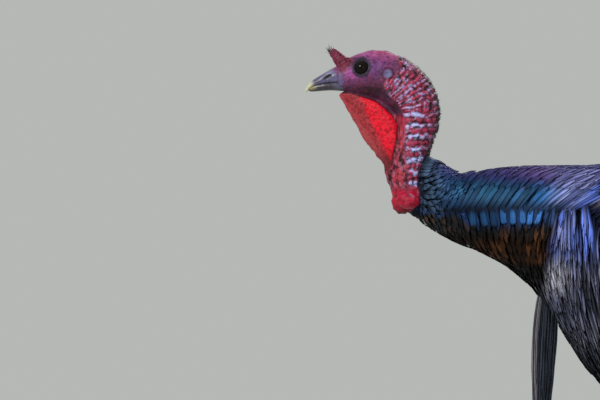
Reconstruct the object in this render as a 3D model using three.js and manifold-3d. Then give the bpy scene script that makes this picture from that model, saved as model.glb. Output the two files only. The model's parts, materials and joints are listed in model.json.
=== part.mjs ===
// Wild turkey, an adult tom of the long-legged western kind: a still, life-size figure that stands on both feet
// with its neck held low and forward and its head up.
// Millimetres. +Z is up, the bird faces -X, and its left side is -Y. The origin lies on the ground under the
// middle of its length. Every surface is the outside of the plumage, or bare skin, horn and scale where there is none.

import * as THREE from "three";
import { LoftGeometry } from "three/addons/geometries/LoftGeometry.js";
import { mergeVertices } from "three/addons/utils/BufferGeometryUtils.js";
import Module from "manifold-3d";

const wasm = await Module();
wasm.setup();

// ---------------------------------------------------------------- driving dimensions

const HALF_LENGTH = 497.5; // bill tip to tail tip is twice this
const GAP = 0.35; // clearance between neighbouring pieces
const FLATNESS = 0.2; // how far a face may leave the drawn form when small triangles are merged
const SIDES = { left: -1, right: 1 }; // the sign of y on each side

// Feathered neck, trunk and tail are one row of upright ribs from the collar to the tail tip:
// x, z of the back, z of the underside, half width, squareness (2 is an ellipse).
const BODY_DETAIL = { around: 24, along: 30, nose: 12, end: 16 };
const BODY = {
  collarLip: [-394, 519, 507, 9, 2],
  collarRise: [-386, 543, 496, 20, 2],
  collar: [-372, 559, 486, 27, 2],
  napeDip: [-350, 544.5, 473.5, 31.5, 2],
  midNeck: [-302, 548, 453, 41, 2],
  neckRoot: [-262, 550, 418, 56, 2],
  crop: [-222, 550, 354, 79, 2],
  breast: [-182, 553, 310, 98, 2.05],
  shoulder: [-122, 556, 257, 114, 2.1],
  keel: [-62, 552, 231, 121, 2.1],
  midBack: [-2, 541, 234, 119, 2.1],
  belly: [58, 520, 266, 108, 2.1],
  vent: [113, 494, 313, 88, 2.1],
  rump: [163, 468, 360, 64, 2.2],
  tailRoot: [208, 448, 381, 53, 2.4],
  coverts: [258, 429, 381, 50, 2.6],
  tailFan: [418, 372, 353, 57, 3],
  tailTip: [HALF_LENGTH, 345, 336, 60, 3],
};

// Skull and bare upper neck: crown and nape outside, jaw and throat inside, from the face to the foot of the neck.
// x and z of the outer end, x and z of the inner end, half width
const HEAD_DETAIL = { around: 18, along: 21, nose: 5, end: 14 };
const HEAD = {
  face: [-468, 647.5, -468, 625, 9.5],
  brow: [-459, 654.5, -453, 622.5, 13],
  eyes: [-442.5, 661.5, -441, 619, 17],
  crown: [-423, 665.5, -432.5, 616.5, 19],
  ears: [-402, 659, -426, 614.5, 20],
  skullBack: [-382, 646.5, -419.5, 610.5, 20.5],
  napeTop: [-368, 628, -412, 604, 21],
  napeBulge: [-361.5, 606, -406.5, 596, 20.5],
  napeFoot: [-364.5, 584.5, -404.5, 586, 20],
  throat: [-371.5, 566, -407.5, 572, 20],
  lowerThroat: [-376, 540, -412, 543.5, 21],
  neckFoot: [-377, 507, -408, 507, 17],
};

// The loose red skin of the throat: where it joins the neck, then its free front edge. taper thins that edge.
const DEWLAP_DETAIL = { around: 12, along: 11, nose: 3, end: 5, taper: 0.5 };
const DEWLAP = {
  chin: [-450, 625, -466, 624.5, 4.5],
  top: [-430, 618, -459, 614, 8],
  upper: [-410, 609, -450, 597, 10.5],
  fullest: [-398, 593, -440, 579.5, 11.5],
  lower: [-398, 573, -431, 566, 11.5],
  notch: [-401, 553, -419, 552, 9],
  tail: [-404, 537, -416, 538, 7.5],
  foot: [-405, 526, -412, 527, 6],
};

// The large caruncles at the foot of the bare neck: centre x, y, z, then half length, half width and half height.
const CARUNCLE_DETAIL = { around: 10, along: 7 };
const CARUNCLES = {
  middle: [-400, 0, 514, 10.5, 12, 13.5],
  leftLobe: [-394, -15.5, 515, 12.5, 9, 9],
  rightLobe: [-394, 15.5, 515, 12.5, 9, 9],
};

// The snood stands over the bill: x, y, z, radius in the side view, radius across.
const SNOOD_DETAIL = { around: 10, along: 6, nose: 2, end: 2.5 };
const SNOOD = {
  root: [-452, 0, 645, 8, 7],
  base: [-459.5, 0, 652.5, 7.4, 6.2],
  waist: [-465, 0, 658.5, 5.8, 5],
  neck: [-469.5, 0, 663.5, 4.4, 3.8],
  tip: [-472.5, 0, 667, 3.2, 3],
};

// Each half of the bill: x and z of its upper edge, x and z of its lower edge, half width, out to the tip.
const BILL_DETAIL = { around: 12, along: 9, nose: 1.5, end: 1.5 };
const UPPER_BILL = {
  root: [-458, 652, -458, 629, 9],
  base: [-468, 647.5, -468, 629.6, 9.2],
  nostril: [-476, 643, -476, 629.8, 8.2],
  bend: [-484, 638.3, -484, 629, 6.8],
  hook: [-491, 633.5, -491, 627, 4.8],
  hookTip: [-495, 629, -494.6, 624, 2.8],
  tip: [-HALF_LENGTH, 624, -HALF_LENGTH, 621.6, 1.3],
};
const LOWER_BILL = {
  root: [-456, 633, -456, 623.6, 7.6],
  base: [-472, 634, -472, 624.6, 7.6],
  bend: [-484, 632, -484, 623.7, 5.8],
  end: [-491, 629, -491, 623.4, 3.7],
  tip: [-494, 626.5, -494, 623.6, 2],
};

const BALL_DETAIL = { around: 10, along: 7 };
const EYE = { x: -440, y: 10.5, z: 646.5, radius: 8.5 };
const EAR = { x: -415, y: 22.5, z: 641, radius: 5 }; // a shallow dimple behind and below the eye

// The hair-like beard that hangs from the front of the breast: x, z of its rear edge, then of its front edge.
const BEARD_DETAIL = { around: 12, along: 10, nose: 2, end: 8 };
const BEARD = {
  root: [-236, 415, -261, 431, 8],
  upper: [-241, 394, -266, 404, 9],
  bend: [-245, 350, -272, 353, 9.5],
  middle: [-248, 320, -268.5, 320, 9],
  lower: [-247, 265, -262, 266, 7],
  tip: [-249, 215, -255, 217, 3],
};

// The folded wing lies on the flank: x, z of its upper edge, z of its lower edge, how far it stands off the flank.
const WING_DETAIL = { around: 12, along: 16, nose: 14, end: 12, sunk: 7 };
const WING = {
  wristFront: [-214, 500, 452, 9],
  wrist: [-198, 514, 426, 13],
  bend: [-172, 523, 383, 16],
  shoulder: [-122, 527, 347, 17],
  middle: [-30, 521, 321, 17],
  flightFeathers: [58, 499, 323, 14],
  tertials: [130, 466, 348, 11],
  tips: [183, 431, 369, 9],
  end: [213, 410, 379, 6],
};

// Each leg is given on the right side: x, y, z, radius fore and aft, radius across.
const THIGH_DETAIL = { around: 12, along: 7, nose: 4, end: 8 };
const THIGH = {
  hip: [-70, 72, 310, 50, 31],
  drumstick: [-52, 70, 262, 43, 29],
  middle: [-33, 67, 222, 31, 22],
  lower: [-17, 64, 192, 19.5, 15.5],
  cuff: [-6, 62, 168, 12.5, 11.5],
};
const SHANK_DETAIL = { around: 10, along: 9, nose: 5, end: 1 };
const SHANK = {
  top: [-3, 61.5, 180, 9.5, 8.5],
  hock: [-7, 61.5, 163, 11, 9.2],
  belowHock: [-12, 61.3, 145, 8.2, 6.8],
  middle: [-24, 61, 95, 7, 5.8],
  ankle: [-36, 60.5, 42, 7.6, 6.4],
  foot: [-41, 60, 16, 9.6, 9],
  pad: [-42, 60, 5, 10.5, 10.5],
  underGround: [-42, 60, -1.5, 9.5, 9.5],
};
const SPUR_DETAIL = { around: 6, along: 5, nose: 1, end: 1 };
const SPUR = {
  root: [-32, 60, 60, 5, 4.6],
  base: [-21, 58, 61, 4, 3.6],
  middle: [-11, 56, 64.5, 2.4, 2.2],
  tip: [-3, 54.5, 69.5, 0.9, 0.9],
};

// Toes leave the foot at heights and radii of their own: each runs out at its angle from straight ahead.
const TOE_DETAIL = { around: 8, along: 5, nose: 2, end: 3 };
const CLAW_DETAIL = { around: 6, along: 5, nose: 1, end: 1 };
const FOOT = { x: -40, y: 60 };
const TOES = {
  middle: { angle: 3, length: 77, rootHeight: 9, rootRadius: 8.4, claw: 19 },
  inner: { angle: -28, length: 54, rootHeight: 8, rootRadius: 7, claw: 16 },
  outer: { angle: 31, length: 57, rootHeight: 8, rootRadius: 7, claw: 16 },
  hind: { angle: 195, length: 32, rootHeight: 13, rootRadius: 5.6, claw: 14 },
};
// Along a toe: share of its length, height and radius. The pads reach under the ground line, where they are flat.
const TOE_PADS = [
  [0.3, 5.8, 6.3],
  [0.6, 5, 6],
  [0.85, 4.7, 5.6],
  [1, 4.2, 4.8],
];

// Where the whole body is parted: a point of each cut and the direction towards the tail.
const CUTS = {
  behindHead: { point: [-404, 0, 631], normal: [0.925, 0, -0.38] },
  neckToTrunk: { point: [-257, 0, 480], normal: [0.87, 0, -0.493] },
  trunkToTail: { point: [163, 0, 414], normal: [0.93, 0, -0.367] },
};

// ---------------------------------------------------------------- materials

const finish = (color, roughness, metalness = 0) =>
  new THREE.MeshStandardMaterial({ color, roughness, metalness });

const MATERIALS = {
  faceSkin: finish(0x7a3148, 0.6),
  wattle: finish(0xc01c22, 0.5),
  bodyFeather: finish(0x24262e, 0.4, 0.3),
  neckFeather: finish(0x1f3a52, 0.35, 0.4),
  wingFeather: finish(0x3a3238, 0.5, 0.1),
  tailFeather: finish(0x5a3722, 0.6),
  beardHair: finish(0x15131a, 0.5),
  billHorn: finish(0x8c86a0, 0.35),
  eye: finish(0x120c0a, 0.05),
  legScale: finish(0xa8746c, 0.55),
  claw: finish(0x3b312c, 0.45),
};

// ---------------------------------------------------------------- shapes

const AXIS_ACROSS = new THREE.Vector3(0, 1, 0);

// Distances along a row of points, as the positions of its stations.
function stationsOf(points) {
  let travelled = 0;
  return points.map((point, i) => {
    travelled += i ? point.distanceTo(points[i - 1]) : 0;
    return travelled;
  });
}

// A smooth curve through rows of numbers, as a function of the station.
function curveThrough(rows, stations) {
  const curve = new THREE.CubicInterpolant(stations, rows.flat(), rows[0].length);
  return (station) => Array.from(curve.evaluate(station));
}

// A point of a ring: round at squareness 2, boxier above it. Angle 0 is the end of the long half-axis.
function ringPoint({ centre, long, wide, square = 2, taper = 0 }, angle) {
  const bend = (value) => Math.sign(value) * Math.abs(value) ** (2 / square);
  const along = bend(Math.cos(angle));
  const across = bend(Math.sin(angle)) * (1 + taper * Math.cos(angle));
  return centre.clone().addScaledVector(long, along).addScaledVector(wide, across);
}

// How far a ring has shrunk where the sweep rounds off at its ends.
function endShrink(distance, capLength) {
  const share = 1 - Math.min(1, distance / capLength);
  return Math.max(0.12, Math.sqrt(1 - share * share));
}

const middleOf = (points) =>
  points.reduce((sum, point) => sum.add(point), new THREE.Vector3()).divideScalar(points.length);

// A closed solid skinned over rings of points, wound so that it faces outwards.
function skinOver(sections) {
  const half = Math.floor(sections.length / 2);
  const middle = middleOf(sections[half]);
  const direction = middleOf(sections[half + 1]).sub(middle);
  const first = sections[half][0].clone().sub(middle);
  const quarter = sections[half][Math.floor(sections[half].length / 4)].clone().sub(middle);
  if (first.cross(quarter).dot(direction) < 0) sections.forEach((points) => points.reverse());
  return solid(new LoftGeometry(sections, { capStart: true, capEnd: true }));
}

// A closed solid swept through rings. ringAt(station) gives each one, and the rings crowd towards both ends.
function sweep(ringAt, length, { around, along, nose, end, taper }, grow = 0) {
  const sections = [];
  for (let row = 0; row <= along; row++) {
    const even = row / along;
    const share = 0.45 * even + 0.55 * (0.5 - 0.5 * Math.cos(Math.PI * even));
    const station = share * length;
    const shrink = endShrink(station, nose) * endShrink(length - station, end);
    const ring = ringAt(station);
    ring.long.setLength(ring.long.length() * shrink + grow);
    ring.wide.setLength(ring.wide.length() * shrink + grow);
    const points = [];
    for (let column = 0; column < around; column++)
      points.push(ringPoint({ ...ring, taper }, (2 * Math.PI * column) / around));
    sections.push(points);
  }
  return skinOver(sections);
}

// A sweep through ribs of the side view: each has both of its ends, its half width and maybe its squareness.
function sweepRibs(ribs, detail, grow) {
  const rows = Object.values(ribs);
  const middles = rows.map(
    ([x1, z1, x2, z2]) => new THREE.Vector3((x1 + x2) / 2, 0, (z1 + z2) / 2),
  );
  const stations = stationsOf(middles);
  const rowAt = curveThrough(rows, stations);
  const ringAt = (station) => {
    const [x1, z1, x2, z2, halfWidth, square] = rowAt(station);
    return {
      centre: new THREE.Vector3((x1 + x2) / 2, 0, (z1 + z2) / 2),
      long: new THREE.Vector3((x1 - x2) / 2, 0, (z1 - z2) / 2),
      wide: AXIS_ACROSS.clone().multiplyScalar(halfWidth),
      square,
    };
  };
  return sweep(ringAt, stations.at(-1), detail, grow);
}

// A limb along a path: each stop has a point and the radii in the side view and across. side mirrors it.
function sweepLimb(path, detail, side = 1, grow = 0) {
  const placed = Object.values(path).map(([x, y, z, ...radii]) => [x, y * side, z, ...radii]);
  const stations = stationsOf(placed.map((row) => new THREE.Vector3(...row)));
  const rowAt = curveThrough(placed, stations);
  const ringAt = (station) => {
    const [x, y, z, inSide, across] = rowAt(station);
    const centre = new THREE.Vector3(x, y, z);
    const ahead = new THREE.Vector3(...rowAt(Math.min(station + 0.5, stations.at(-1))));
    const behind = new THREE.Vector3(...rowAt(Math.max(station - 0.5, 0)));
    const direction = ahead.sub(behind).normalize();
    const long = direction.clone().cross(AXIS_ACROSS).setLength(inSide);
    const wide = long.clone().cross(direction).setLength(across);
    return { centre, long, wide };
  };
  return sweep(ringAt, stations.at(-1), detail, grow);
}

function ellipsoid([x, y, z, halfLength, halfWidth, halfHeight], { around, along }, grow = 0) {
  const ball = new THREE.SphereGeometry(1, around, along);
  ball.scale(halfLength + grow, halfWidth + grow, halfHeight + grow);
  return solid(ball.translate(x, y, z));
}

// The folded wing follows the flank under it: every point lies beside the body, stood off or sunk by its thickness.
function wingSolid(side) {
  const curveAlongX = (ribs) => curveThrough(Object.values(ribs), Object.values(ribs).map(([x]) => x));
  const bodyAt = curveAlongX(BODY);
  const wingAt = curveAlongX(WING);
  const start = WING.wristFront[0];
  const length = WING.end[0] - start;
  const { around, along, nose, end, sunk } = WING_DETAIL;
  const sections = [];
  for (let row = 0; row <= along; row++) {
    const even = row / along;
    const distance = length * (0.6 * even + 0.4 * (0.5 - 0.5 * Math.cos(Math.PI * even)));
    const [x, top, bottom, standOff] = wingAt(start + distance);
    const shrink = endShrink(distance, nose) * endShrink(length - distance, end);
    const [, back, belly, halfWidth, square] = bodyAt(x);
    const points = [];
    for (let column = 0; column < around; column++) {
      const angle = (2 * Math.PI * column) / around;
      const z = (top + bottom) / 2 + (shrink * Math.cos(angle) * (top - bottom)) / 2;
      const height = Math.min(0.93, Math.abs((2 * z - back - belly) / (back - belly)));
      const flank = halfWidth * (1 - height ** square) ** (1 / square);
      const lift = Math.sin(angle) > 0 ? standOff * shrink : sunk;
      const y = flank + lift * Math.sign(Math.sin(angle)) * Math.abs(Math.sin(angle)) ** 0.7;
      points.push(new THREE.Vector3(x, side * y, z));
    }
    sections.push(points);
  }
  return skinOver(sections);
}

// ---------------------------------------------------------------- solids and nodes

// A closed three.js geometry as a solid.
function solid(geometry) {
  const bare = new THREE.BufferGeometry();
  bare.setAttribute("position", geometry.attributes.position);
  bare.setIndex(geometry.index);
  const merged = mergeVertices(bare, 1e-4);
  const mesh = new wasm.Mesh({
    numProp: 3,
    vertProperties: merged.attributes.position.array,
    triVerts: new Uint32Array(merged.index.array),
  });
  return new wasm.Manifold(mesh);
}

// The largest body of a cut, without the slivers that a cut may leave.
function mainBody(cutSolid) {
  return cutSolid.decompose().reduce((a, b) => (a.volume() > b.volume() ? a : b));
}

// Both sides of a thin cut: the part towards the head, then the part towards the tail.
function partAt(whole, { point, normal }) {
  const towardsTail = new THREE.Vector3(...normal).normalize();
  const offset = towardsTail.dot(new THREE.Vector3(...point));
  const towardsHead = towardsTail.clone().negate();
  const fore = whole.trimByPlane(towardsHead.toArray(), -offset + GAP / 2);
  const aft = whole.trimByPlane(towardsTail.toArray(), offset + GAP / 2);
  return [fore, aft];
}

const aboveGround = (made) => made.trimByPlane([0, 0, 1], 0);

const bird = new THREE.Group();

// A part of the bird that hangs together, such as a leg, placed by the point it turns about.
function addGroup(parent, x, y, z) {
  const group = new THREE.Group();
  group.position.set(x, y, z).sub(parent.getWorldPosition(new THREE.Vector3()));
  parent.add(group);
  return group;
}

// Adds a solid to a group as one named mesh, drawn about its own centre and placed by it.
function addNode(group, name, made, material) {
  const { numProp, numVert, vertProperties, triVerts } = mainBody(made)
    .simplify(FLATNESS)
    .getMesh();
  const positions = new Float32Array(numVert * 3);
  for (let i = 0; i < numVert; i++)
    positions.set(vertProperties.subarray(i * numProp, i * numProp + 3), i * 3);
  const geometry = new THREE.BufferGeometry();
  geometry.setAttribute("position", new THREE.BufferAttribute(positions, 3));
  geometry.setIndex(new THREE.BufferAttribute(triVerts, 1));
  geometry.computeVertexNormals();
  geometry.computeBoundingBox();
  const centre = geometry.boundingBox.getCenter(new THREE.Vector3()).round();
  geometry.translate(-centre.x, -centre.y, -centre.z);
  const node = new THREE.Mesh(geometry, material);
  node.name = name;
  node.position.copy(centre).sub(group.getWorldPosition(new THREE.Vector3()));
  group.add(node);
}

// ---------------------------------------------------------------- the pieces

// Body ribs are upright, so both of their ends share one x.
const uprightRibs = Object.values(BODY).map(([x, back, belly, halfWidth, square]) => [
  x, back, x, belly, halfWidth, square,
]);
const bodySolid = (grow) => sweepRibs(uprightRibs, BODY_DETAIL, grow);
const headSolid = (grow) => sweepRibs(HEAD, HEAD_DETAIL, grow);
const snoodSolid = (grow) => sweepLimb(SNOOD, SNOOD_DETAIL, 1, grow);
const upperBillSolid = (grow) => sweepRibs(UPPER_BILL, BILL_DETAIL, grow);
const lowerBillSolid = (grow) => sweepRibs(LOWER_BILL, BILL_DETAIL, grow);
const shankSolid = (side, grow) => sweepLimb(SHANK, SHANK_DETAIL, side, grow);
const ballSolid = ({ x, y, z, radius }, side, grow) =>
  ellipsoid([x, side * y, z, radius, radius, radius], BALL_DETAIL, grow);
const carunclesSolid = (grow) =>
  Object.values(CARUNCLES)
    .map((lobe) => ellipsoid(lobe, CARUNCLE_DETAIL, grow))
    .reduce((joined, lobe) => joined.add(lobe));

// Head and bare neck are one swept form, parted behind the skull, with sockets for the eyes and dimples for the ears.
// The upper half of the bill caps the lower one along the mouth line. The red wattles hang from the throat.
function addHead() {
  const group = addGroup(bird, ...CUTS.behindHead.point);
  let whole = headSolid(0)
    .subtract(upperBillSolid(GAP))
    .subtract(lowerBillSolid(GAP))
    .subtract(snoodSolid(GAP));
  for (const [name, side] of Object.entries(SIDES)) {
    whole = whole.subtract(ballSolid(EYE, side, GAP)).subtract(ballSolid(EAR, side, 0));
    addNode(group, `eye_${name}`, ballSolid(EYE, side, 0), MATERIALS.eye);
  }
  const [head, neck] = partAt(whole, CUTS.behindHead);
  addNode(group, "head", head, MATERIALS.faceSkin);
  addNode(bird, "neck_bare", neck, MATERIALS.wattle);
  const billCap = upperBillSolid(0).subtract(lowerBillSolid(GAP));
  addNode(group, "bill_upper", billCap, MATERIALS.billHorn);
  addNode(group, "bill_lower", lowerBillSolid(0), MATERIALS.billHorn);
  addNode(group, "snood", snoodSolid(0).subtract(upperBillSolid(GAP)), MATERIALS.wattle);
  const dewlap = sweepRibs(DEWLAP, DEWLAP_DETAIL)
    .subtract(headSolid(GAP))
    .subtract(lowerBillSolid(GAP))
    .subtract(carunclesSolid(GAP));
  addNode(group, "dewlap", dewlap, MATERIALS.wattle);
  addNode(bird, "caruncles", carunclesSolid(0).subtract(headSolid(GAP)), MATERIALS.wattle);
}

// The plumage of neck, trunk and tail is one form, cut twice. The folded wings and the beard lie against it.
function addBody() {
  const whole = bodySolid(0).subtract(headSolid(GAP)).subtract(carunclesSolid(GAP));
  const [neck, rest] = partAt(whole, CUTS.neckToTrunk);
  const [trunk, tail] = partAt(rest, CUTS.trunkToTail);
  addNode(bird, "neck_feathered", neck, MATERIALS.neckFeather);
  addNode(bird, "trunk", trunk, MATERIALS.bodyFeather);
  addNode(addGroup(bird, ...CUTS.trunkToTail.point), "tail", tail, MATERIALS.tailFeather);
  const beard = sweepRibs(BEARD, BEARD_DETAIL).subtract(bodySolid(GAP));
  addNode(bird, "beard", beard, MATERIALS.beardHair);
  for (const [name, side] of Object.entries(SIDES))
    addNode(bird, `wing_${name}`, wingSolid(side).subtract(bodySolid(GAP)), MATERIALS.wingFeather);
}

// A toe's path, from the foot out to its end, and the path of the claw that curves down from that end.
function toePaths({ angle, length, rootHeight, rootRadius, claw }) {
  const turn = THREE.MathUtils.degToRad(angle);
  const at = (distance, height, radius) => [
    FOOT.x - distance * Math.cos(turn),
    FOOT.y + distance * Math.sin(turn),
    height,
    radius,
    radius * 0.96,
  ];
  const toe = [at(0, rootHeight, rootRadius)];
  for (const [share, height, radius] of TOE_PADS) toe.push(at(share * length, height, radius));
  const nail = [
    at(length - 0.3 * claw, 5.4, 3.8),
    at(length + 0.1 * claw, 5.6, 3.5),
    at(length + 0.55 * claw, 4.2, 2.5),
    at(length + claw, 1.2, 0.8),
  ];
  return { toe, nail };
}

// A leg is a feathered thigh over a scaled shank with a spur, on a foot of three toes forward and one back.
function addLeg(name, side) {
  const [hipX, hipY, hipZ] = THIGH.hip;
  const leg = addGroup(bird, hipX, side * hipY, hipZ);
  const grownShank = shankSolid(side, GAP);
  const thigh = sweepLimb(THIGH, THIGH_DETAIL, side).subtract(bodySolid(GAP)).subtract(grownShank);
  addNode(leg, `thigh_${name}`, thigh, MATERIALS.bodyFeather);
  addNode(leg, `shank_${name}`, aboveGround(shankSolid(side, 0)), MATERIALS.legScale);
  const spur = sweepLimb(SPUR, SPUR_DETAIL, side).subtract(grownShank);
  addNode(leg, `spur_${name}`, spur, MATERIALS.claw);

  const foot = addGroup(leg, FOOT.x, side * FOOT.y, 0);
  let taken = grownShank;
  for (const [toeName, sizes] of Object.entries(TOES)) {
    const { toe, nail } = toePaths(sizes);
    const toeSolid = (grow) => sweepLimb(toe, TOE_DETAIL, side, grow);
    const nailSolid = (grow) => sweepLimb(nail, CLAW_DETAIL, side, grow);
    const bareToe = toeSolid(0).subtract(taken).subtract(nailSolid(GAP));
    addNode(foot, `toe_${toeName}_${name}`, aboveGround(bareToe), MATERIALS.legScale);
    addNode(foot, `claw_${toeName}_${name}`, aboveGround(nailSolid(0)), MATERIALS.claw);
    taken = taken.add(toeSolid(GAP));
  }
}

addHead();
addBody();
for (const [name, side] of Object.entries(SIDES)) addLeg(name, side);

export default bird;
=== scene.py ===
# A tom wild turkey, long-legged and slim, standing on both feet with its neck low and forward and its head
# up. One skin of flesh runs through the whole bird. Over it lie bill, eyes, claws and scales, and the vanes
# of each feather tract in their rows, from the collar back to the tail. Metres, +Z up, the bird faces -X.
import json
import math

import bmesh
import bpy
import numpy as np
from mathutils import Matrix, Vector
from mathutils.bvhtree import BVHTree

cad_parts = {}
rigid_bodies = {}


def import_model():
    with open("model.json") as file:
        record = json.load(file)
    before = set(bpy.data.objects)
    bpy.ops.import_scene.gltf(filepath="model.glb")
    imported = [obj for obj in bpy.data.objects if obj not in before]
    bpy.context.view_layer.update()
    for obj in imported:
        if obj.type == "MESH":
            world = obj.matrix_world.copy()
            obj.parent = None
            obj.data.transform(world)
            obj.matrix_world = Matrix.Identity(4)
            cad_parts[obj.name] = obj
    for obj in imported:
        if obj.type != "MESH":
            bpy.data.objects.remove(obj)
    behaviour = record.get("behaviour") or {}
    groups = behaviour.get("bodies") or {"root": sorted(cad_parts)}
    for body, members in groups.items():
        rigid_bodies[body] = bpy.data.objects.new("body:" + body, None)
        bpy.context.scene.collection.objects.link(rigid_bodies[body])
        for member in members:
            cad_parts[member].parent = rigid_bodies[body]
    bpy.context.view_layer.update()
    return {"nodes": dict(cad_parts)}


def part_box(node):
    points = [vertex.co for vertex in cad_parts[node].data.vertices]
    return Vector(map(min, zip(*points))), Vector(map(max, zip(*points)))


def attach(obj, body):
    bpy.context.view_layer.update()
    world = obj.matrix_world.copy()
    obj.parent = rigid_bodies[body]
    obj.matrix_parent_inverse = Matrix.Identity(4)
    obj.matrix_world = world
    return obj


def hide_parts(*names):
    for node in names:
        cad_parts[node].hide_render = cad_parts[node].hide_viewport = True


for leftover in list(bpy.data.objects):
    bpy.data.objects.remove(leftover)
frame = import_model()
MM = 0.001
SIDES = {"left": -1, "right": 1}

# --------------------------------------------------------------------------------------------- skin
# The skin is one closed surface, cast around the frame's solids and smoothed, with its folds worked in. Head,
# bare neck, throat flap, caruncles, snood, shanks and toes are bare and keep their full size; neck, trunk,
# wings, thighs and tail root lie inside the plumage by its depth.
COAT_DEPTH = 6.5
BARE_NODES = ["head", "neck_bare", "dewlap", "caruncles", "snood"]
FEATHERED_NODES = ["neck_feathered", "trunk", "wing_left", "wing_right", "thigh_left", "thigh_right", "tail"]
TOES = ["middle", "inner", "outer", "hind"]
LEG_NODES = [f"shank_{side}" for side in SIDES] + [f"toe_{toe}_{side}" for toe in TOES for side in SIDES]
NECK_PLUG = ((-378, 0, 521), (23, 18, 25))
HOCK_KNOB = ((-6.5, 62, 167), (12.3, 11.6, 16))
LID_RADIUS, LID_THICKNESS, LID_FORWARD = 7.7, 1.15, 3.3
TAIL_CUT = 0.262

eye_low, eye_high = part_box("eye_right")
EYE_CENTRE = np.array((eye_low + eye_high) / 2) / MM
EYE_RADIUS = (eye_high.x - eye_low.x) / 2 / MM
EYE_AXIS = np.array([-0.16, 0.98, 0.1])


def mesh_from(name, points, faces):
    """A mesh from points in millimetres."""
    mesh = bpy.data.meshes.new(name)
    mesh.from_pydata((np.asarray(points) * MM).tolist(), [], [tuple(face) for face in faces])
    mesh.update()
    return mesh


def new_object(name, mesh):
    made = bpy.data.objects.new(name, mesh)
    bpy.context.scene.collection.objects.link(made)
    return made


def read(items, field, width=1, kind=float):
    """One field of all the items of a mesh, a row of numbers for each."""
    values = np.empty(len(items) * width, dtype=kind)
    items.foreach_get(field, values)
    return values.reshape(-1, width) if width > 1 else values


def points_of(mesh):
    """Vertex positions in millimetres."""
    return read(mesh.vertices, "co", 3) / MM


def place_points(mesh, points):
    mesh.vertices.foreach_set("co", (points * MM).ravel())
    mesh.update()


def normals_of(mesh):
    return read(mesh.vertex_normals, "vector", 3)


def shade_smooth(mesh):
    mesh.polygons.foreach_set("use_smooth", np.ones(len(mesh.polygons), dtype=bool))


def unit(vectors):
    return vectors / np.maximum(np.linalg.norm(vectors, axis=-1, keepdims=True), 1e-9)


def ramp(value, low, high):
    """0 up to low, 1 from high on, and a soft curve between them."""
    part = np.clip((value - low) / (high - low), 0, 1)
    return part * part * (3 - 2 * part)


def hashed(cells, seed):
    """A random number from 0 to 1 for each cell of a lattice."""
    spread = np.sin(cells @ np.array([127.1, 311.7, 74.7]) + seed * 19.19) * 43758.5453
    return spread - np.floor(spread)


def lumps(points, size, seed):
    """Smooth noise from -1 to 1, its lumps about size across."""
    cells = points / size
    base = np.floor(cells)
    part = cells - base
    part = part * part * (3 - 2 * part)
    total = np.zeros(len(points))
    for corner in range(8):
        step = np.array([corner & 1, corner >> 1 & 1, corner >> 2 & 1])
        weight = np.prod(np.where(step, part, 1 - part), axis=1)
        total += weight * (hashed(base + step, seed) * 2 - 1)
    return total


def grains(points, size, seed):
    """For a bed of round grains: distance from the nearest grain's middle, and that grain's random number."""
    cells = points / size
    base = np.floor(cells)
    nearest = np.full(len(points), 9.0)
    own = np.zeros(len(points))
    for corner in range(27):
        cell = base + np.array([corner % 3, corner // 3 % 3, corner // 9]) - 1
        middle = cell + np.stack([hashed(cell, seed + axis) for axis in (1, 2, 3)], axis=1)
        distance = np.linalg.norm(middle - cells, axis=1)
        closer = distance < nearest
        nearest[closer] = distance[closer]
        own[closer] = hashed(cell[closer], seed + 4)
    return nearest, own


def add_ball(target, centre, radii):
    """An ellipsoid, in millimetres, added to a bmesh."""
    made = bmesh.ops.create_icosphere(target, subdivisions=4, radius=1)
    for vertex in made["verts"]:
        vertex.co = Vector([(centre[axis] + radii[axis] * vertex.co[axis]) * MM for axis in range(3)])


def add_ring(target, centre, axis, radius, thickness, segments=48, facets=12):
    """A closed ring, in millimetres, around an axis."""
    side = unit(np.cross(axis, [0, 0, 1]))
    up = unit(np.cross(side, axis))
    ring = []
    for turn in np.linspace(0, 2 * math.pi, segments, endpoint=False):
        outward = math.cos(turn) * side + math.sin(turn) * up
        loop = []
        for roll in np.linspace(0, 2 * math.pi, facets, endpoint=False):
            place = centre + outward * (radius + thickness * math.cos(roll))
            loop.append(target.verts.new(Vector((place + axis * thickness * math.sin(roll)) * MM)))
        ring.append(loop)
    for here, after in zip(ring, ring[1:] + ring[:1]):
        for step in range(facets):
            following = (step + 1) % facets
            target.faces.new([here[step], after[step], after[following], here[following]])


def solids_joined(nodes, swell):
    """A copy of the nodes' solids in one bmesh, each swollen a little so that the gaps between them close."""
    joined = bmesh.new()
    for name in nodes:
        part = bmesh.new()
        part.from_mesh(frame["nodes"][name].data)
        bmesh.ops.remove_doubles(part, verts=part.verts, dist=0.01 * MM)
        part.normal_update()
        for vertex in part.verts:
            vertex.co += vertex.normal * swell * MM
        copy = bpy.data.meshes.new(name)
        part.to_mesh(copy)
        part.free()
        joined.from_mesh(copy)
        bpy.data.meshes.remove(copy)
    return joined


def applied(made, name):
    """The object with its modifiers applied."""
    graph = bpy.context.evaluated_depsgraph_get()
    mesh = bpy.data.meshes.new_from_object(made.evaluated_get(graph))
    bpy.data.objects.remove(made)
    mesh.name = name
    return new_object(name, mesh)


def cast(name, source, voxel, smoothing):
    """One closed and even surface around a bmesh's solids."""
    mesh = bpy.data.meshes.new(name)
    source.to_mesh(mesh)
    source.free()
    made = new_object(name, mesh)
    fuse = made.modifiers.new("fuse", "REMESH")
    fuse.mode = "VOXEL"
    fuse.voxel_size = voxel * MM
    smooth = made.modifiers.new("smooth", "SMOOTH")
    smooth.factor = 0.5
    smooth.iterations = smoothing
    return applied(made, name)


def grown_together(body, part):
    """The two closed surfaces joined into one."""
    joint = body.modifiers.new("join", "BOOLEAN")
    joint.operation = "UNION"
    joint.solver = "MANIFOLD"
    joint.object = part
    joined = applied(body, body.name)
    bpy.data.objects.remove(part)
    return joined


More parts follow.
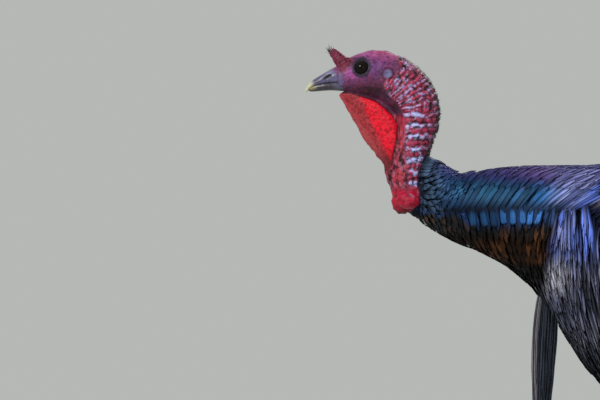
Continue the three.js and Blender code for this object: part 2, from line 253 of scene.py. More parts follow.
def coat_depth(points):
    """How deep the skin lies under the plumage, in millimetres: little at the collar and near the hock."""
    return COAT_DEPTH * ramp(points[:, 0], -395, -374) * (0.15 + 0.85 * ramp(points[:, 2], 172, 235))


head_form = solids_joined(BARE_NODES, 0.25)
add_ball(head_form, *NECK_PLUG)
for sign in SIDES.values():
    mirror = np.array([1, sign, 1])
    lid_centre = EYE_CENTRE * mirror + EYE_AXIS * mirror * LID_FORWARD
    add_ring(head_form, lid_centre, unit(EYE_AXIS * mirror), LID_RADIUS, LID_THICKNESS)
bmesh.ops.recalc_face_normals(head_form, faces=head_form.faces)
skin = cast("skin", head_form, 0.95, 2)

leg_form = solids_joined(LEG_NODES, 0.3)
for sign in SIDES.values():
    (x, y, z), radii = HOCK_KNOB
    add_ball(leg_form, (x, y * sign, z), radii)
leg_skin = cast("leg_skin", leg_form, 1.8, 1)

# The plumage's own form is kept as the surface on which the feathers lie.
plumage_form = cast("plumage_form", solids_joined(FEATHERED_NODES, 0.3), 3.5, 6)
lay_points = points_of(plumage_form.data)

body_skin = cast("body_skin", solids_joined(FEATHERED_NODES, 0.3), 5, 4)
points = points_of(body_skin.data)
place_points(body_skin.data, points - normals_of(body_skin.data) * coat_depth(points)[:, None])
trimmed = bmesh.new()
trimmed.from_mesh(body_skin.data)
bmesh.ops.bisect_plane(trimmed, geom=trimmed.verts[:] + trimmed.edges[:] + trimmed.faces[:],
                       plane_co=(TAIL_CUT, 0, 0), plane_no=(1, 0, 0), clear_outer=True)
bmesh.ops.holes_fill(trimmed, edges=[edge for edge in trimmed.edges if edge.is_boundary], sides=0)
bpy.data.objects.remove(body_skin)
body_skin = cast("body_skin", trimmed, 6, 2)
skin = grown_together(skin, body_skin)
skin = grown_together(skin, leg_skin)
UNWRAP_ZONES = {"head": 3.0, "legs": 1.6, "body": 1.0}
UNWRAP_HEAD_END, UNWRAP_LEG_TOP = -0.384, 0.17


def unwrap(made):
    """Unwraps the skin, with more room on the map for head and legs than for the body."""
    mesh = made.data
    bpy.context.view_layer.objects.active = made
    made.select_set(True)
    mesh.uv_layers.new(name="OFBake")
    centres = read(mesh.polygons, "center", 3)
    head = centres[:, 0] < UNWRAP_HEAD_END
    legs = ~head & (centres[:, 2] < UNWRAP_LEG_TOP)
    zones = {"head": head, "legs": legs, "body": ~head & ~legs}
    for faces in zones.values():
        mesh.polygons.foreach_set("select", faces)
        bpy.ops.object.mode_set(mode="EDIT")
        bpy.ops.uv.smart_project(angle_limit=1.15, island_margin=0)
        bpy.ops.object.mode_set(mode="OBJECT")
    flat = read(mesh.uv_layers["OFBake"].data, "uv", 2)
    starts, totals = (read(mesh.polygons, field, kind=np.int32) for field in ("loop_start", "loop_total"))
    areas = read(mesh.polygons, "area")
    owner = np.repeat(np.arange(len(totals)), totals)
    for zone, faces in zones.items():
        first = flat[starts[faces]]
        along, across = flat[starts[faces] + 1] - first, flat[starts[faces] + 2] - first
        covered = np.abs(along[:, 0] * across[:, 1] - along[:, 1] * across[:, 0]).sum() / 2
        flat[faces[owner]] *= UNWRAP_ZONES[zone] * math.sqrt(areas[faces].sum() / covered)
    mesh.uv_layers["OFBake"].data.foreach_set("uv", flat.ravel())
    mesh.polygons.foreach_set("select", np.ones(len(totals), dtype=bool))
    bpy.ops.object.mode_set(mode="EDIT")
    bpy.ops.uv.select_all(action="SELECT")
    bpy.ops.uv.pack_islands(margin=0.001, rotate=False)
    bpy.ops.object.mode_set(mode="OBJECT")
    made.select_set(False)


unwrap(skin)


def blot(x, z, centre, radii):
    """1 at the centre of an oval patch seen from the side, fading to 0 past its rim."""
    return np.exp(-((x - centre[0]) / radii[0]) ** 2 - ((z - centre[1]) / radii[1]) ** 2)


class HeadZones:
    """Where each kind of bare skin lies, for points in millimetres. Every zone is a weight from 0 to 1."""

    def __init__(self, points):
        x, y, z = points.T
        self.x, self.side, self.z = x, np.abs(y), z
        collar_edge = np.interp(z, [500, 506, 512, 530, 545, 556, 568, 576],
                                [-396, -390, -383, -386, -384, -380, -366, -340])
        self.bare = ramp(collar_edge - x, -2.5, 0.5) * ramp(z, 470, 480)
        nape_edge = np.interp(z, [500, 530, 559, 595, 604, 612, 618, 626, 633, 640, 648, 662],
                              [-391, -394, -397, -397, -400, -405, -412, -418, -419, -406, -402, -405])
        self.nape = ramp(x - nape_edge, -1.5, 1.5) * self.bare * ramp(z, 519, 527)
        under_jaw = np.interp(x, [-470, -465, -446, -438, -427, -417, -410, -404],
                              [625, 624, 621, 618, 615, 607, 600, 590]) - z
        before_neck = np.interp(z, [538, 551, 567, 577, 590, 600],
                                [-414, -410, -407.5, -405, -404, -404]) - x
        self.flap_depth = np.minimum(under_jaw, before_neck)
        self.flap = ramp(self.flap_depth, -0.4, 0.8) * ramp(z, 540, 545)
        self.from_front = ((x + 465) * 75 + (z - 624) * 52) / 91.3
        along_snood = ((x + 453) * -22 + (z - 646) * 22) / 31.1
        from_snood = np.abs((x + 453) * 22 + (z - 646) * 22) / 31.1
        self.snood = ramp(along_snood, 0, 4) * ramp(-from_snood, -10, -7) * ramp(-x, 446, 450)
        self.along_snood = along_snood
        self.bulb = ramp(-z, -529, -523) * self.bare
        self.knotted = ramp(-z, -590, -568)
        self.face = ramp(z, 596, 602) * (1 - self.nape) * (1 - self.flap) * (1 - self.snood)
        self.folds = (1 - self.nape) * (1 - self.flap) * (1 - self.face) * (1 - self.bulb) * (1 - self.snood)
        turned = 58 * np.arctan2(z - 600, x + 430)
        self.row = np.where(z > 600, turned, (z - 600) - 0.06 * (x + 380))
        self.along_row = np.where(z > 600, np.hypot(x + 430, z - 600), x + 430)
        mirror = np.where(y[:, None] < 0, [1, -1, 1], [1, 1, 1])
        from_eye, axis = points - EYE_CENTRE * mirror, EYE_AXIS * mirror
        ahead = (from_eye * axis).sum(axis=1)
        self.eye = np.linalg.norm(from_eye - ahead[:, None] * axis, axis=1)
        self.ear = np.hypot((x + 414.5) / 4.4, (z - 640.5) / 4.8)


ROW_PITCH = 5.6


def row_ridge(zones, points):
    """The caruncle rows of the nape: their height, 1 on pale rows against -1 on red ones, and their knobs."""
    row = zones.row + 1.3 * lumps(points, 9, 1) + 0.7 * lumps(points, 4, 2)
    phase = row / ROW_PITCH * math.pi
    knob, own = grains(np.stack([row, 0.72 * zones.along_row, 0.72 * points[:, 1]], axis=1), 3.3, 5)
    return 0.5 + 0.5 * np.cos(2 * phase), np.cos(phase), knob, own


def face_wave(zones, points):
    """The fine slanting wrinkles of the face, as a wave from -1 to 1."""
    slant = (zones.x * 0.55 + zones.z) + 1.6 * lumps(points, 7, 21)
    return np.sin(slant / 2.3 * 2 * math.pi)


def sculpt_head(points, normals):
    """Raises the folds, rows, grains and rims of the bare skin, in millimetres along its normals."""
    zones = HeadZones(points)
    x, z, knotted = zones.x, zones.z, zones.knotted
    ridge, _, knob, own = row_ridge(zones, points)
    nape = (2.0 * (0.2 + 0.8 * ridge) * (1.05 - knob) + 0.6 * (own - 0.5) - 0.7) * zones.nape
    bead, _ = grains(points, 2.1, 11)
    flap = (0.55 * (1 - bead) + 0.35 * lumps(points, 6, 12) - 0.2) * zones.flap
    pleat = 0.7 * lumps(points * [1, 1, 0.7], 3.4, 14) * zones.flap * ramp(-zones.from_front, -7, -1)
    crease = -0.9 * np.exp(-(zones.flap_depth / 1.1) ** 2) * ramp(z, 545, 552) * ramp(-x, 402, 406)
    wrinkle = 0.22 * face_wave(zones, points) * ramp(-z, -642, -630)
    wrinkle += 0.16 * lumps(points, 1.8, 22) + 0.25 * lumps(points, 5, 23)
    wrinkle += 0.45 * lumps(points, 2.6, 24) * blot(x, z, (-411, 662), (16, 13))
    face = wrinkle * zones.face * ramp(zones.ear, 1.1, 1.5) * ramp(zones.eye, 9, 11)
    upright = x + 1.8 * lumps(points * [1, 1, 0.35], 6, 31) + 0.05 * (z - 560)
    knot, _ = grains(points * [1, 1, 0.8], 3.2, 85)
    folds = 0.75 * (1 - 0.6 * knotted) * np.sin(upright / 4.1 * 2 * math.pi) + 0.5 * lumps(points, 3, 32)
    folds = (folds + 1.7 * knotted * (0.6 - knot)) * zones.folds
    nodule, _ = grains(points, 5.2, 41)
    bulb = (0.9 * (0.7 - nodule) + 0.3 * lumps(points, 2.2, 42)) * zones.bulb
    ring = 0.22 * np.sin((zones.along_snood + 1.5 * lumps(points, 3, 51)) / 2.6 * 2 * math.pi)
    snood = (ring + 0.3 * lumps(points, 2, 52) - 1.1 * ramp(zones.along_snood, 14, 30)) * zones.snood
    ear = 0.8 * (1 - ramp(zones.ear, 0.7, 1.05)) * zones.face
    ear += 0.45 * np.exp(-((zones.ear - 1.25) / 0.16) ** 2) * zones.face
    brow = 0.9 * blot(x, z, (-441, 656.3), (10, 1.9)) * ramp(zones.side, 6, 9) * zones.face
    raised = nape + flap + pleat + crease + face + folds + bulb + snood + ear + brow
    near_lid = ramp(zones.eye, 8.6, 10)
    return points + normals * (raised * near_lid * zones.bare)[:, None]


def blend(colour, *layers):
    """A colour with layers over it, each a tint and how much of it covers every point."""
    colour = np.asarray(colour)
    for tint, weight in layers:
        colour = colour + (np.asarray(tint) - colour) * np.clip(weight, 0, 1)[:, None]
    return colour


def head_colours(points, zones):
    """The colour of face, crown and cheek, and the ground under the other zones of bare skin."""
    x, z = zones.x, zones.z
    colour = blend((0.15, 0.038, 0.105),
                   ((0.36, 0.085, 0.26), ramp(z, 650, 660)),
                   ((0.45, 0.07, 0.15), 0.75 * blot(x, z, (-413, 666), (16, 9))),
                   ((0.45, 0.09, 0.34), 0.85 * blot(x, z, (-452, 640), (9, 8))),
                   ((0.095, 0.03, 0.18), 0.85 * blot(x, z, (-436, 647), (16, 10))),
                   ((0.19, 0.05, 0.22), 0.6 * blot(x, z, (-421, 651), (9, 7))),
                   ((0.024, 0.005, 0.01), 0.95 * blot(x, z, (-431, 624), (22, 7.5))),
                   ((0.045, 0.009, 0.02), 0.95 * blot(x, z, (-407, 609), (12, 11))))
    seam = 0.5 + 0.5 * face_wave(zones, points)
    colour *= (1 - 0.35 * seam * ramp(-z, -642, -630))[:, None]
    colour *= (1 + 0.45 * np.clip(lumps(points * [1.0, 1.0, 1.6], 2.1, 64), -1, 1))[:, None]
    mottle = lumps(points, 3.0, 61) + 0.7 * lumps(points, 1.5, 62)
    rosy = 0.35 * ramp(mottle, 0.1, 0.9) * (1 - 0.7 * blot(x, z, (-436, 647), (15, 9)))
    before = ramp(-(x + 457 + 0.3 * (z - 630) + lumps(points, 2.5, 132)), -1, 2.5) * ramp(-x, 452, 456)
    brow = blot(x, z, (-443, 655.5), (12, 2.8)) * ramp(zones.side, 5, 9)
    ear = (1 - ramp(zones.ear, 0.7, 1.1)) * (0.75 + 0.25 * lumps(points, 2.5, 63))
    return blend(colour,
                 ((0.27, 0.018, 0.042), rosy),
                 ((0.022, 0.009, 0.034), 0.6 * ramp(-mottle, 0.2, 1.0)),
                 ((0.12, 0.105, 0.215), before * ramp(z, 628, 631) * ramp(-z, -652, -645)),
                 ((0.15, 0.08, 0.205), 0.6 * blot(x, z, (-461, 640), (5, 9))),
                 ((0.022, 0.01, 0.036), 0.8 * brow),
                 ((0.02, 0.01, 0.03), 0.8 * blot(x, z, (-453, 652), (5, 3.2))),
                 ((0.15, 0.16, 0.33), ear),
                 ((0.03, 0.007, 0.018), 0.8 * np.exp(-((zones.ear - 1.3) / 0.22) ** 2)))


def nape_colours(zones, points):
    """Pale and red rows of caruncles, dark pit marks on them, and painted shade between knobs and rows."""
    x, z = zones.x, zones.z
    ridge, tone, knob, own = row_ridge(zones, points)
    upper = ramp(z, 598, 616)
    pale = 1.5 * (own - 0.5) + (0.6 + 0.5 * upper) * lumps(points, 1.6, 71) - 0.1 * upper
    pale = ramp((0.75 - 0.55 * upper) * tone + pale, 0.0, 0.4)
    blue_part = np.exp(-((x + 388 + 0.5 * np.clip(z - 610, 0, 40)) / 11) ** 2)
    pale_tint = blend((0.44, 0.19, 0.37), ((0.42, 0.46, 0.84), blue_part), ((0.33, 0.21, 0.43), 0.6 * upper))
    rows = blend((0.41, 0.046, 0.105), ((0.27, 0.026, 0.07), own), (pale_tint, pale))
    # Painted shade in the valleys between the rows and the gaps between the knobs.
    rows *= (0.1 + 1.1 * (0.4 + 0.6 * ramp(ridge, 0.0, 0.5)) * ramp(-knob, -0.85, -0.45))[:, None]
    # A black band down the back edge of the nape: partly its dark bristly edge, partly painted shade.
    rear = np.interp(z, [556, 566, 576, 590, 606, 620, 635, 648, 660],
                     [-376, -370, -366, -362, -361, -364, -371, -381, -395])
    rows = blend(rows, ((0.01, 0.009, 0.014), 0.9 * ramp(x - rear + 0.8 * lumps(points, 3, 73), -5.5, -2.0)))
    pit, pit_own = grains(points, 2.9, 75)
    pits_and_gap_shade = (1 - ramp(pit, 0.22, 0.36)) * ramp(pit_own + 0.03 * (x - rear), 0.15, 0.2)
    # Besides the dark pit marks, painted shade in the gaps between some knobs.
    pits_and_gap_shade = np.maximum(pits_and_gap_shade, 0.9 * ramp(knob, 0.72, 0.9) * ramp(lumps(points, 2.5, 79), -0.2, 0.2))
    return rows, pits_and_gap_shade, own


def skin_colours(points):
    """The colour of the whole skin: the bare zones over the head's own tints, then down and legs."""
    zones = HeadZones(points)
    x, z = zones.x, zones.z
    rows, pits_and_gap_shade, own = nape_colours(zones, points)
    bead, _ = grains(points, 2.1, 11)
    # Painted shade in the gaps between the beads of the flap.
    red = blend((0.83, 0.005, 0.027), ((0.38, 0.002, 0.013), ramp(bead, 0.35, 0.85)))
    # Painted light: the flap's middle, where it faces the lamp, is brighter red than its front strip.
    bright_from = np.interp(z, [556, 571, 597, 614, 622], [3.5, 6, 10.5, 14.5, 17])
    flap = blend((0.4, 0.034, 0.045),
                 ((0.2, 0.014, 0.024), ramp(bead, 0.3, 0.8)),
                 (red, ramp(zones.from_front - bright_from + 1.6 * lumps(points, 5, 76), -1.5, 2.5)),
                 ((0.4, 0.06, 0.07), 0.7 * ramp(-zones.from_front, -1.8, -0.4)),
                 # Painted shade at the lower end of the flap.
                 ((0.07, 0.003, 0.01), 0.75 * ramp(-z, -568, -548)))
    fold_tone = 0.5 + 0.5 * lumps(points * [1, 1, 0.4], 3, 77)
    knot, knot_own = grains(points * [1, 1, 0.8], 3.2, 85)
    folds = blend((0.4, 0.032, 0.062),
                  ((0.04, 0.003, 0.009), ramp(fold_tone, 0.35, 0.8)),
                  ((0.35, 0.12, 0.2), 0.5 * ramp(lumps(points, 2.6, 84), 0.45, 0.8)),
                  ((0.42, 0.15, 0.26), 0.5 * ramp(knot_own, 0.72, 0.8) * zones.knotted),
                  # Painted shade in the gaps between the knots.
                  ((0.016, 0.003, 0.008), 0.9 * ramp(knot, 0.58, 0.82) * zones.knotted))
    nodule, _ = grains(points, 5.2, 41)
    bulb = blend((0.42, 0.006, 0.036),
                 # Painted shade in the gaps between the nodules.
                 ((0.13, 0.002, 0.012), 0.85 * ramp(nodule, 0.45, 1.0)),
                 # Painted pink highlights over the red.
                 ((0.44, 0.05, 0.1), 0.4 * ramp(lumps(points, 3, 78), 0.2, 0.8)),
                 # Painted shade under the bulb.
                 ((0.05, 0.004, 0.008), 0.85 * ramp(-z, -510, -501)),
                 ((0.33, 0.36, 0.56), 0.9 * blot(x, z, (-389, 525), (3.4, 5.5)) * ramp(own, 0.25, 0.5)))
    snood = blend((0.175, 0.019, 0.05),
                  ((0.045, 0.004, 0.016), ramp(lumps(points, 2, 52), -0.1, 0.6)),
                  ((0.3, 0.09, 0.13), ramp(zones.along_snood, 24, 29)))
    # Painted shade in the crease where the flap meets the neck.
    crease = np.exp(-zones.flap_depth ** 2) * ramp(z, 545, 552) * ramp(-x, 402, 406)
    bare = blend(head_colours(points, zones), (rows, zones.nape), ((0.006, 0.004, 0.008), pits_and_gap_shade * zones.nape),
                 (flap, zones.flap), (folds, zones.folds), (bulb, zones.bulb), (snood, zones.snood),
                 ((0.02, 0.004, 0.01), 0.85 * crease),
                 ((0.012, 0.005, 0.018), 1 - ramp(zones.eye + 0.6 * lumps(points, 3, 83), 8.6, 11.2)),
                 ((0.045, 0.026, 0.07), 0.7 * np.exp(-((zones.eye - 7.2) / 0.35) ** 2)))
    leg = blend((0.33, 0.15, 0.13), ((0.18, 0.11, 0.1), ramp(lumps(points, 5, 82), 0, 1)))
    return blend((0.02, 0.017, 0.016),
                 ((0.05, 0.042, 0.038), lumps(points, 4, 81)),
                 (leg, ramp(-z, -186, -176)),
                 ((0.007, 0.012, 0.024), ramp(-x, 330, 350)),
                 (bare, zones.bare))


skin_map_points = points_of(skin.data)
worked = sculpt_head(skin_map_points, normals_of(skin.data))
worked[:, 2] = np.maximum(worked[:, 2], 0)
place_points(skin.data, worked)


def add_colours(mesh, colours):
    """A colour for each point of the mesh."""
    layer = mesh.color_attributes.new("tint", "FLOAT_COLOR", "POINT")
    full = np.ones((len(colours), 4))
    full[:, :3] = np.clip(colours, 0, 1)
    layer.data.foreach_set("color", full.ravel())


add_colours(skin.data, skin_colours(skin_map_points))
shade_smooth(skin.data)


def new_group(name, **inputs):
    """A shader group: colours (None) and numbers go in, and a colour, a roughness and a height come out."""
    tree = bpy.data.node_groups.new(name, "ShaderNodeTree")
    for label, value in inputs.items():
        kind = "NodeSocketColor" if value is None else "NodeSocketFloat"
        socket = tree.interface.new_socket(label.replace("_", " "), in_out="INPUT", socket_type=kind)
        if value is not None:
            socket.default_value = value
    for label, kind in (("Colour", "NodeSocketColor"), ("Roughness", "NodeSocketFloat"),
                        ("Height", "NodeSocketFloat")):
        tree.interface.new_socket(label, in_out="OUTPUT", socket_type=kind)
    return tree, tree.nodes.new("NodeGroupInput").outputs, tree.nodes.new("NodeGroupOutput")


def add_node(tree, kind, settings=None, **links):
    """A shader node with its settings, and its sockets linked to others or set."""
    node = tree.nodes.new("ShaderNode" + kind)
    for label, value in (settings or {}).items():
        setattr(node, label, value)
    for label, value in links.items():
        key = int(label[1:]) if label[0] == "i" and label[1:].isdigit() else label.replace("_", " ")
        if isinstance(value, bpy.types.NodeSocket):
            tree.links.new(value, node.inputs[key])
        else:
            node.inputs[key].default_value = value
    return node


def link(tree, node, **sources):
    """Leads each source to the node's socket of that name."""
    for label, source in sources.items():
        tree.links.new(source, node.inputs[label.replace("_", " ")])


def calc(tree, operation, first, second=0.5, third=0.5):
    return add_node(tree, "Math", {"operation": operation}, i0=first, i1=second, i2=third).outputs[0]


def mixed(tree, factor, first, second, blend_type="MIX"):
    settings = {"data_type": "RGBA", "blend_type": blend_type}
    return add_node(tree, "Mix", settings, i0=factor, i6=first, i7=second).outputs[2]


def darkened(tree, colour, shade):
    """The colour multiplied by a grey."""
    grey = add_node(tree, "CombineColor", Red=shade, Green=shade, Blue=shade).outputs[0]
    return mixed(tree, 1.0, colour, grey, "MULTIPLY")


def soft_step(tree, value, low, high, start=0.0):
    """The start value up to low, 1 from high on, and a soft curve between them."""
    return add_node(tree, "MapRange", {"interpolation_type": "SMOOTHSTEP"}, Value=value, From_Min=low,
                    From_Max=high, To_Min=start, To_Max=1.0).outputs[0]


def new_material(name, **sockets):
    """A material with a Principled BSDF; the values given are set on its own sockets."""
    material = bpy.data.materials.new(name)
    material.use_nodes = True
    tree = material.node_tree
    shader = tree.nodes["Principled BSDF"]
    for label, value in sockets.items():
        shader.inputs[label.replace("_", " ")].default_value = value
    return material, tree, shader


def attribute(tree, name, output="Color"):
    return add_node(tree, "Attribute", {"attribute_name": name}).outputs[output]


def surfaced(tree, shader, maps, colour, bump, depth):
    """Leads a colour and a group's roughness and height to the shader, the height through a bump."""
    relief = add_node(tree, "Bump", Strength=bump, Distance=depth, Height=maps["Height"])
    link(tree, shader, Base_Color=colour, Roughness=maps["Roughness"], Normal=relief.outputs["Normal"])


def pore_group():
    """Fine pebbling for bare skin: a speckle of colour, a roughness and a height for the bump."""
    tree, given, put = new_group("skin_pores", Colour=None, Grain=600.0, Speckle=0.3)
    place = add_node(tree, "TexCoord").outputs["Object"]
    cells = add_node(tree, "TexVoronoi", {"feature": "F1"}, Vector=place, Scale=given["Grain"])
    distance = cells.outputs["Distance"]
    fine = add_node(tree, "TexNoise", Vector=place, Scale=1500.0, Detail=3.0, Roughness=0.6).outputs["Fac"]
    broad = add_node(tree, "TexNoise", Vector=place, Scale=260.0, Detail=2.0, Roughness=0.5).outputs["Fac"]
    shade = calc(tree, "MULTIPLY_ADD", distance, -0.9, 1.35)
    shade = calc(tree, "MULTIPLY", shade, calc(tree, "MULTIPLY_ADD", broad, 0.8, 0.6))
    speckled = mixed(tree, given["Speckle"], given["Colour"], darkened(tree, given["Colour"], shade))
    link(tree, put, Colour=speckled, Roughness=calc(tree, "MULTIPLY_ADD", fine, 0.3, 0.3),
         Height=calc(tree, "MULTIPLY_ADD", distance, -1.0, calc(tree, "MULTIPLY", fine, 0.5)))
    return tree


PORES = pore_group()


def skin_material(name, grain, speckle, bump, **sockets):
    material, tree, shader = new_material(name, **sockets)
    pores = add_node(tree, "Group", {"node_tree": PORES}, Colour=attribute(tree, "tint"), Grain=grain,
                     Speckle=speckle).outputs
    surfaced(tree, shader, pores, pores["Colour"], bump, 0.0004)
    return material


skin.data.materials.clear()
skin.data.materials.append(skin_material("bare_skin", 620.0, 0.55, 0.7, Specular_IOR_Level=0.22,
                                         Subsurface_Weight=0.05, Subsurface_Radius=(1.0, 0.25, 0.15),
                                         Subsurface_Scale=0.001))
skin.data.materials.append(skin_material("down", 300.0, 0.6, 1.0, Specular_IOR_Level=0.04))
skin.data.materials.append(skin_material("leg_skin", 420.0, 0.5, 0.8, Specular_IOR_Level=0.4))
DOWN_SLOT, LEG_SLOT, LEG_SLOT_TOP, LEG_SLOT_FRONT = 1, 2, 182, -350
centres = read(skin.data.polygons, "center", 3) / MM
kinds = np.full(len(centres), DOWN_SLOT, dtype=np.int32)
kinds[HeadZones(centres).bare > 0.5] = 0
kinds[(centres[:, 2] < LEG_SLOT_TOP) & (centres[:, 0] > LEG_SLOT_FRONT)] = LEG_SLOT
skin.data.polygons.foreach_set("material_index", kinds)
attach(skin, "root")
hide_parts(*BARE_NODES, *FEATHERED_NODES, *LEG_NODES)

# --------------------------------------------------------------------------------------------- eyes
# Each eye is a moist ball with a brown-black iris, a round pupil and a clear bulge of cornea in front. It
# sits in its socket inside the ring of the lids.
PUPIL, IRIS_INNER, IRIS_OUTER, RIM_BLUR = 2.6, 4.4, 6.2, 0.25
CORNEA_BULGE, CORNEA_REACH = 0.45, 4.6
EYE_RINGS, EYE_SPOKES = 40, 64


def eye_ball(side, sign):
    mirror = np.array([1, sign, 1])
    centre = EYE_CENTRE * mirror
    axis = unit(EYE_AXIS * mirror)
    aside = unit(np.cross(axis, [0, 0, 1]))
    above = np.cross(aside, axis)
    points, faces = [centre + axis * (EYE_RADIUS + CORNEA_BULGE)], []
    for ring in range(1, EYE_RINGS):
        tilt = math.pi * ring / EYE_RINGS
        bulge = CORNEA_BULGE * math.exp(-(EYE_RADIUS * tilt / CORNEA_REACH) ** 4)
        for spoke in range(EYE_SPOKES):
            turn = 2 * math.pi * spoke / EYE_SPOKES
            outward = math.cos(turn) * aside + math.sin(turn) * above
            points.append(centre + (EYE_RADIUS + bulge) * (math.cos(tilt) * axis + math.sin(tilt) * outward))
    points.append(centre - axis * EYE_RADIUS)
    for spoke in range(EYE_SPOKES):
        after = (spoke + 1) % EYE_SPOKES
        faces.append((0, 1 + after, 1 + spoke))
        for ring in range(EYE_RINGS - 2):
            here = 1 + ring * EYE_SPOKES
            below = here + EYE_SPOKES
            faces.append((here + spoke, here + after, below + after, below + spoke))
        last = 1 + (EYE_RINGS - 2) * EYE_SPOKES
        faces.append((last + spoke, last + after, len(points) - 1))
    mesh = mesh_from(f"eye_ball_{side}", points, faces)
    ball = new_object(f"eye_ball_{side}", mesh)
    fix = bmesh.new()
    fix.from_mesh(mesh)
    bmesh.ops.recalc_face_normals(fix, faces=fix.faces)
    fix.to_mesh(mesh)
    fix.free()
    shade_smooth(mesh)
    from_axis = np.array(points) - centre
    ahead = from_axis @ axis
    reach = np.linalg.norm(from_axis - ahead[:, None] * axis, axis=1)
    reach = np.where(ahead > 0, reach, EYE_RADIUS)
    iris = blend((0.006, 0.0024, 0.0016), ((0.0012, 0.0008, 0.001), ramp(reach, IRIS_INNER, IRIS_OUTER)))
    add_colours(mesh, blend((0.0008, 0.0008, 0.001), (iris, ramp(reach, PUPIL - RIM_BLUR, PUPIL + RIM_BLUR))))
    mesh.materials.append(EYE_MATERIAL)
    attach(ball, "root")
    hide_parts(f"eye_{side}")


def eye_material():
    material, tree, shader = new_material("eye_surface", Roughness=0.04, Specular_IOR_Level=0.14)
    place = add_node(tree, "TexCoord").outputs["Object"]
    streaks = add_node(tree, "TexNoise", Vector=place, Scale=900.0, Detail=4.0)
    shade = calc(tree, "MULTIPLY_ADD", streaks.outputs["Fac"], 1.0, 0.5)
    link(tree, shader, Base_Color=darkened(tree, attribute(tree, "tint"), shade))
    return material


EYE_MATERIAL = eye_material()
for side, sign in SIDES.items():
    eye_ball(side, sign)

# ---------------------------------------------------------------------- feathers of neck and breast
# Neck and breast carry small square-tipped feathers in rings that part along each side: above the parting
# they sweep up and back, below it they hang in strands. Each one is a thin closed vane, blue, teal and violet
# above the parting, bronze below it, and violet to grey on the breast.
NECK_RING = 11.7
BREAST_RING, BREAST_STEP = 2.7, 20.0
UPWARD_LEAN = 60
OUTSIDE = 500
LEAST_LINE = 20
KEEL, BARB_SPREAD = 0.7, 97


def triangles_of(mesh):
    mesh.calc_loop_triangles()
    return read(mesh.loop_triangles, "vertices", 3, np.int32)


class Ground:
    """A surface that things lie on or grow from, in millimetres."""

    def __init__(self, points, normals, triangles):
        self.points, self.normals, self.triangles = points, normals, triangles
        self.tree = BVHTree.FromPolygons(points.tolist(), triangles.tolist())

    def settle(self, places):
        """For each place the nearest point of the surface, its soft normal and its triangle."""
        found = [self.tree.find_nearest(place) for place in places.tolist()]
        spots = np.array([hit[0] for hit in found])
        faces = np.array([hit[2] for hit in found])
        corners = self.triangles[faces]
        near = 1 / (np.linalg.norm(self.points[corners] - spots[:, None], axis=2) + 0.2)
        return spots, unit((self.normals[corners] * near[:, :, None]).sum(axis=1)), faces

    def strike(self, origins, headings):
        """Where rays from outside meet the surface, with a row of NaN for each that misses."""
        hits = [self.tree.ray_cast(origin, heading)[0] for origin, heading in
                zip(origins.tolist(), headings.tolist())]
        return np.array([list(hit) if hit else [np.nan] * 3 for hit in hits])


coat = Ground(lay_points, normals_of(plumage_form.data), triangles_of(plumage_form.data))
skin_ground = Ground(skin_map_points, normals_of(skin.data), triangles_of(skin.data))
skin_corners = read(skin.data.loop_triangles, "loops", 3, np.int32)
skin_face_flat = read(skin.data.uv_layers["OFBake"].data, "uv", 2)[skin_corners].mean(axis=1)


def ring_line(middle_x, lean=90):
    """A line of places over the left side, from under the body to its back, leaning back over the parting."""
    angles = np.radians(np.linspace(-90, 90, 91))
    x = np.full(len(angles), float(middle_x))
    for _ in range(2):
        centre_z = np.interp(x, BODY_MIDDLE[0], BODY_MIDDLE[1])
        outward = np.stack([np.zeros(len(x)), -np.cos(angles), np.sin(angles)], axis=1)
        origins = np.stack([x, np.zeros(len(x)), centre_z], axis=1) + outward * OUTSIDE
        hits = coat.strike(origins, -outward)
        over = np.clip(hits[:, 2] - parting_height(x), 0, None)
        x = middle_x + np.nan_to_num(over) / math.tan(math.radians(lean))
    return hits[~np.isnan(hits[:, 0])]


def length_along(line):
    return np.concatenate([[0], np.cumsum(np.linalg.norm(np.diff(line, axis=0), axis=1))])


def places_along(line, step, start=0.0):
    """Places a step apart along a line, counted from its start."""
    along = length_along(line)
    marks = np.arange(start, along[-1], step)
    return np.stack([np.interp(marks, along, line[:, axis]) for axis in range(3)], axis=1)


def parted(line, over_step, under_step, chance, stray=0.0):
    """Roots over and under the parting of one ring, on both sides, with how deep each is rooted."""
    along = length_along(line)
    parting = np.interp(0, line[:, 2] - parting_height(line[:, 0]), along)
    hanging = along[-1] - np.interp(0, line[:, 2] - hanging_top(line[:, 0]), along)
    over = places_along(line, over_step, start=max(parting - 5 - stray * chance.uniform(), 0))
    under = places_along(line[::-1], under_step, start=max(hanging - 8 - stray * chance.uniform(), 0))
    rows = []
    for roots, step in ((over, over_step), (under, under_step)):
        depth = np.minimum(1.2 + 0.22 * step * np.arange(len(roots)), 5.0)
        rows.append((both_sides(roots), np.tile(depth, 2)))
    return rows


def both_sides(places):
    return np.concatenate([places, places * [1, -1, 1]])


BODY_MIDDLE = ([-396, -372, -302, -262, -182, -62, 58, 163, 258],
               [514, 523, 501, 487, 450, 415, 405, 418, 408])


def parting_height(x):
    return np.interp(x, [-400, -362, -272, -232, -224, -200, -160], [512, 505, 507, 512, 518, 539, 560])


def hanging_top(x):
    """The upper edge of the hanging strands: along the parting, then round the front of the shoulder."""
    return np.interp(x, [-400, -362, -272, -232, -222, -213, -206, -190, -165, -140],
                     [512, 505, 507, 512, 506, 484, 470, 450, 415, 380])


def headings(angle):
    """Directions towards the tail, an angle in degrees below level."""
    angle = np.radians(angle)
    return np.stack([np.cos(angle), np.zeros(len(angle)), -np.sin(angle)], axis=1)


def lie_upward(points):
    """Over the parting the feathers sweep up and back, more level over the back of the neck."""
    angle = np.interp(points[:, 0], [-390, -300, -235, -180], [-58, -60, -38, -20])
    return headings(angle * (1 - 0.75 * ramp(-points[:, 0], 335, 355) * ramp(points[:, 2], 522, 545)))


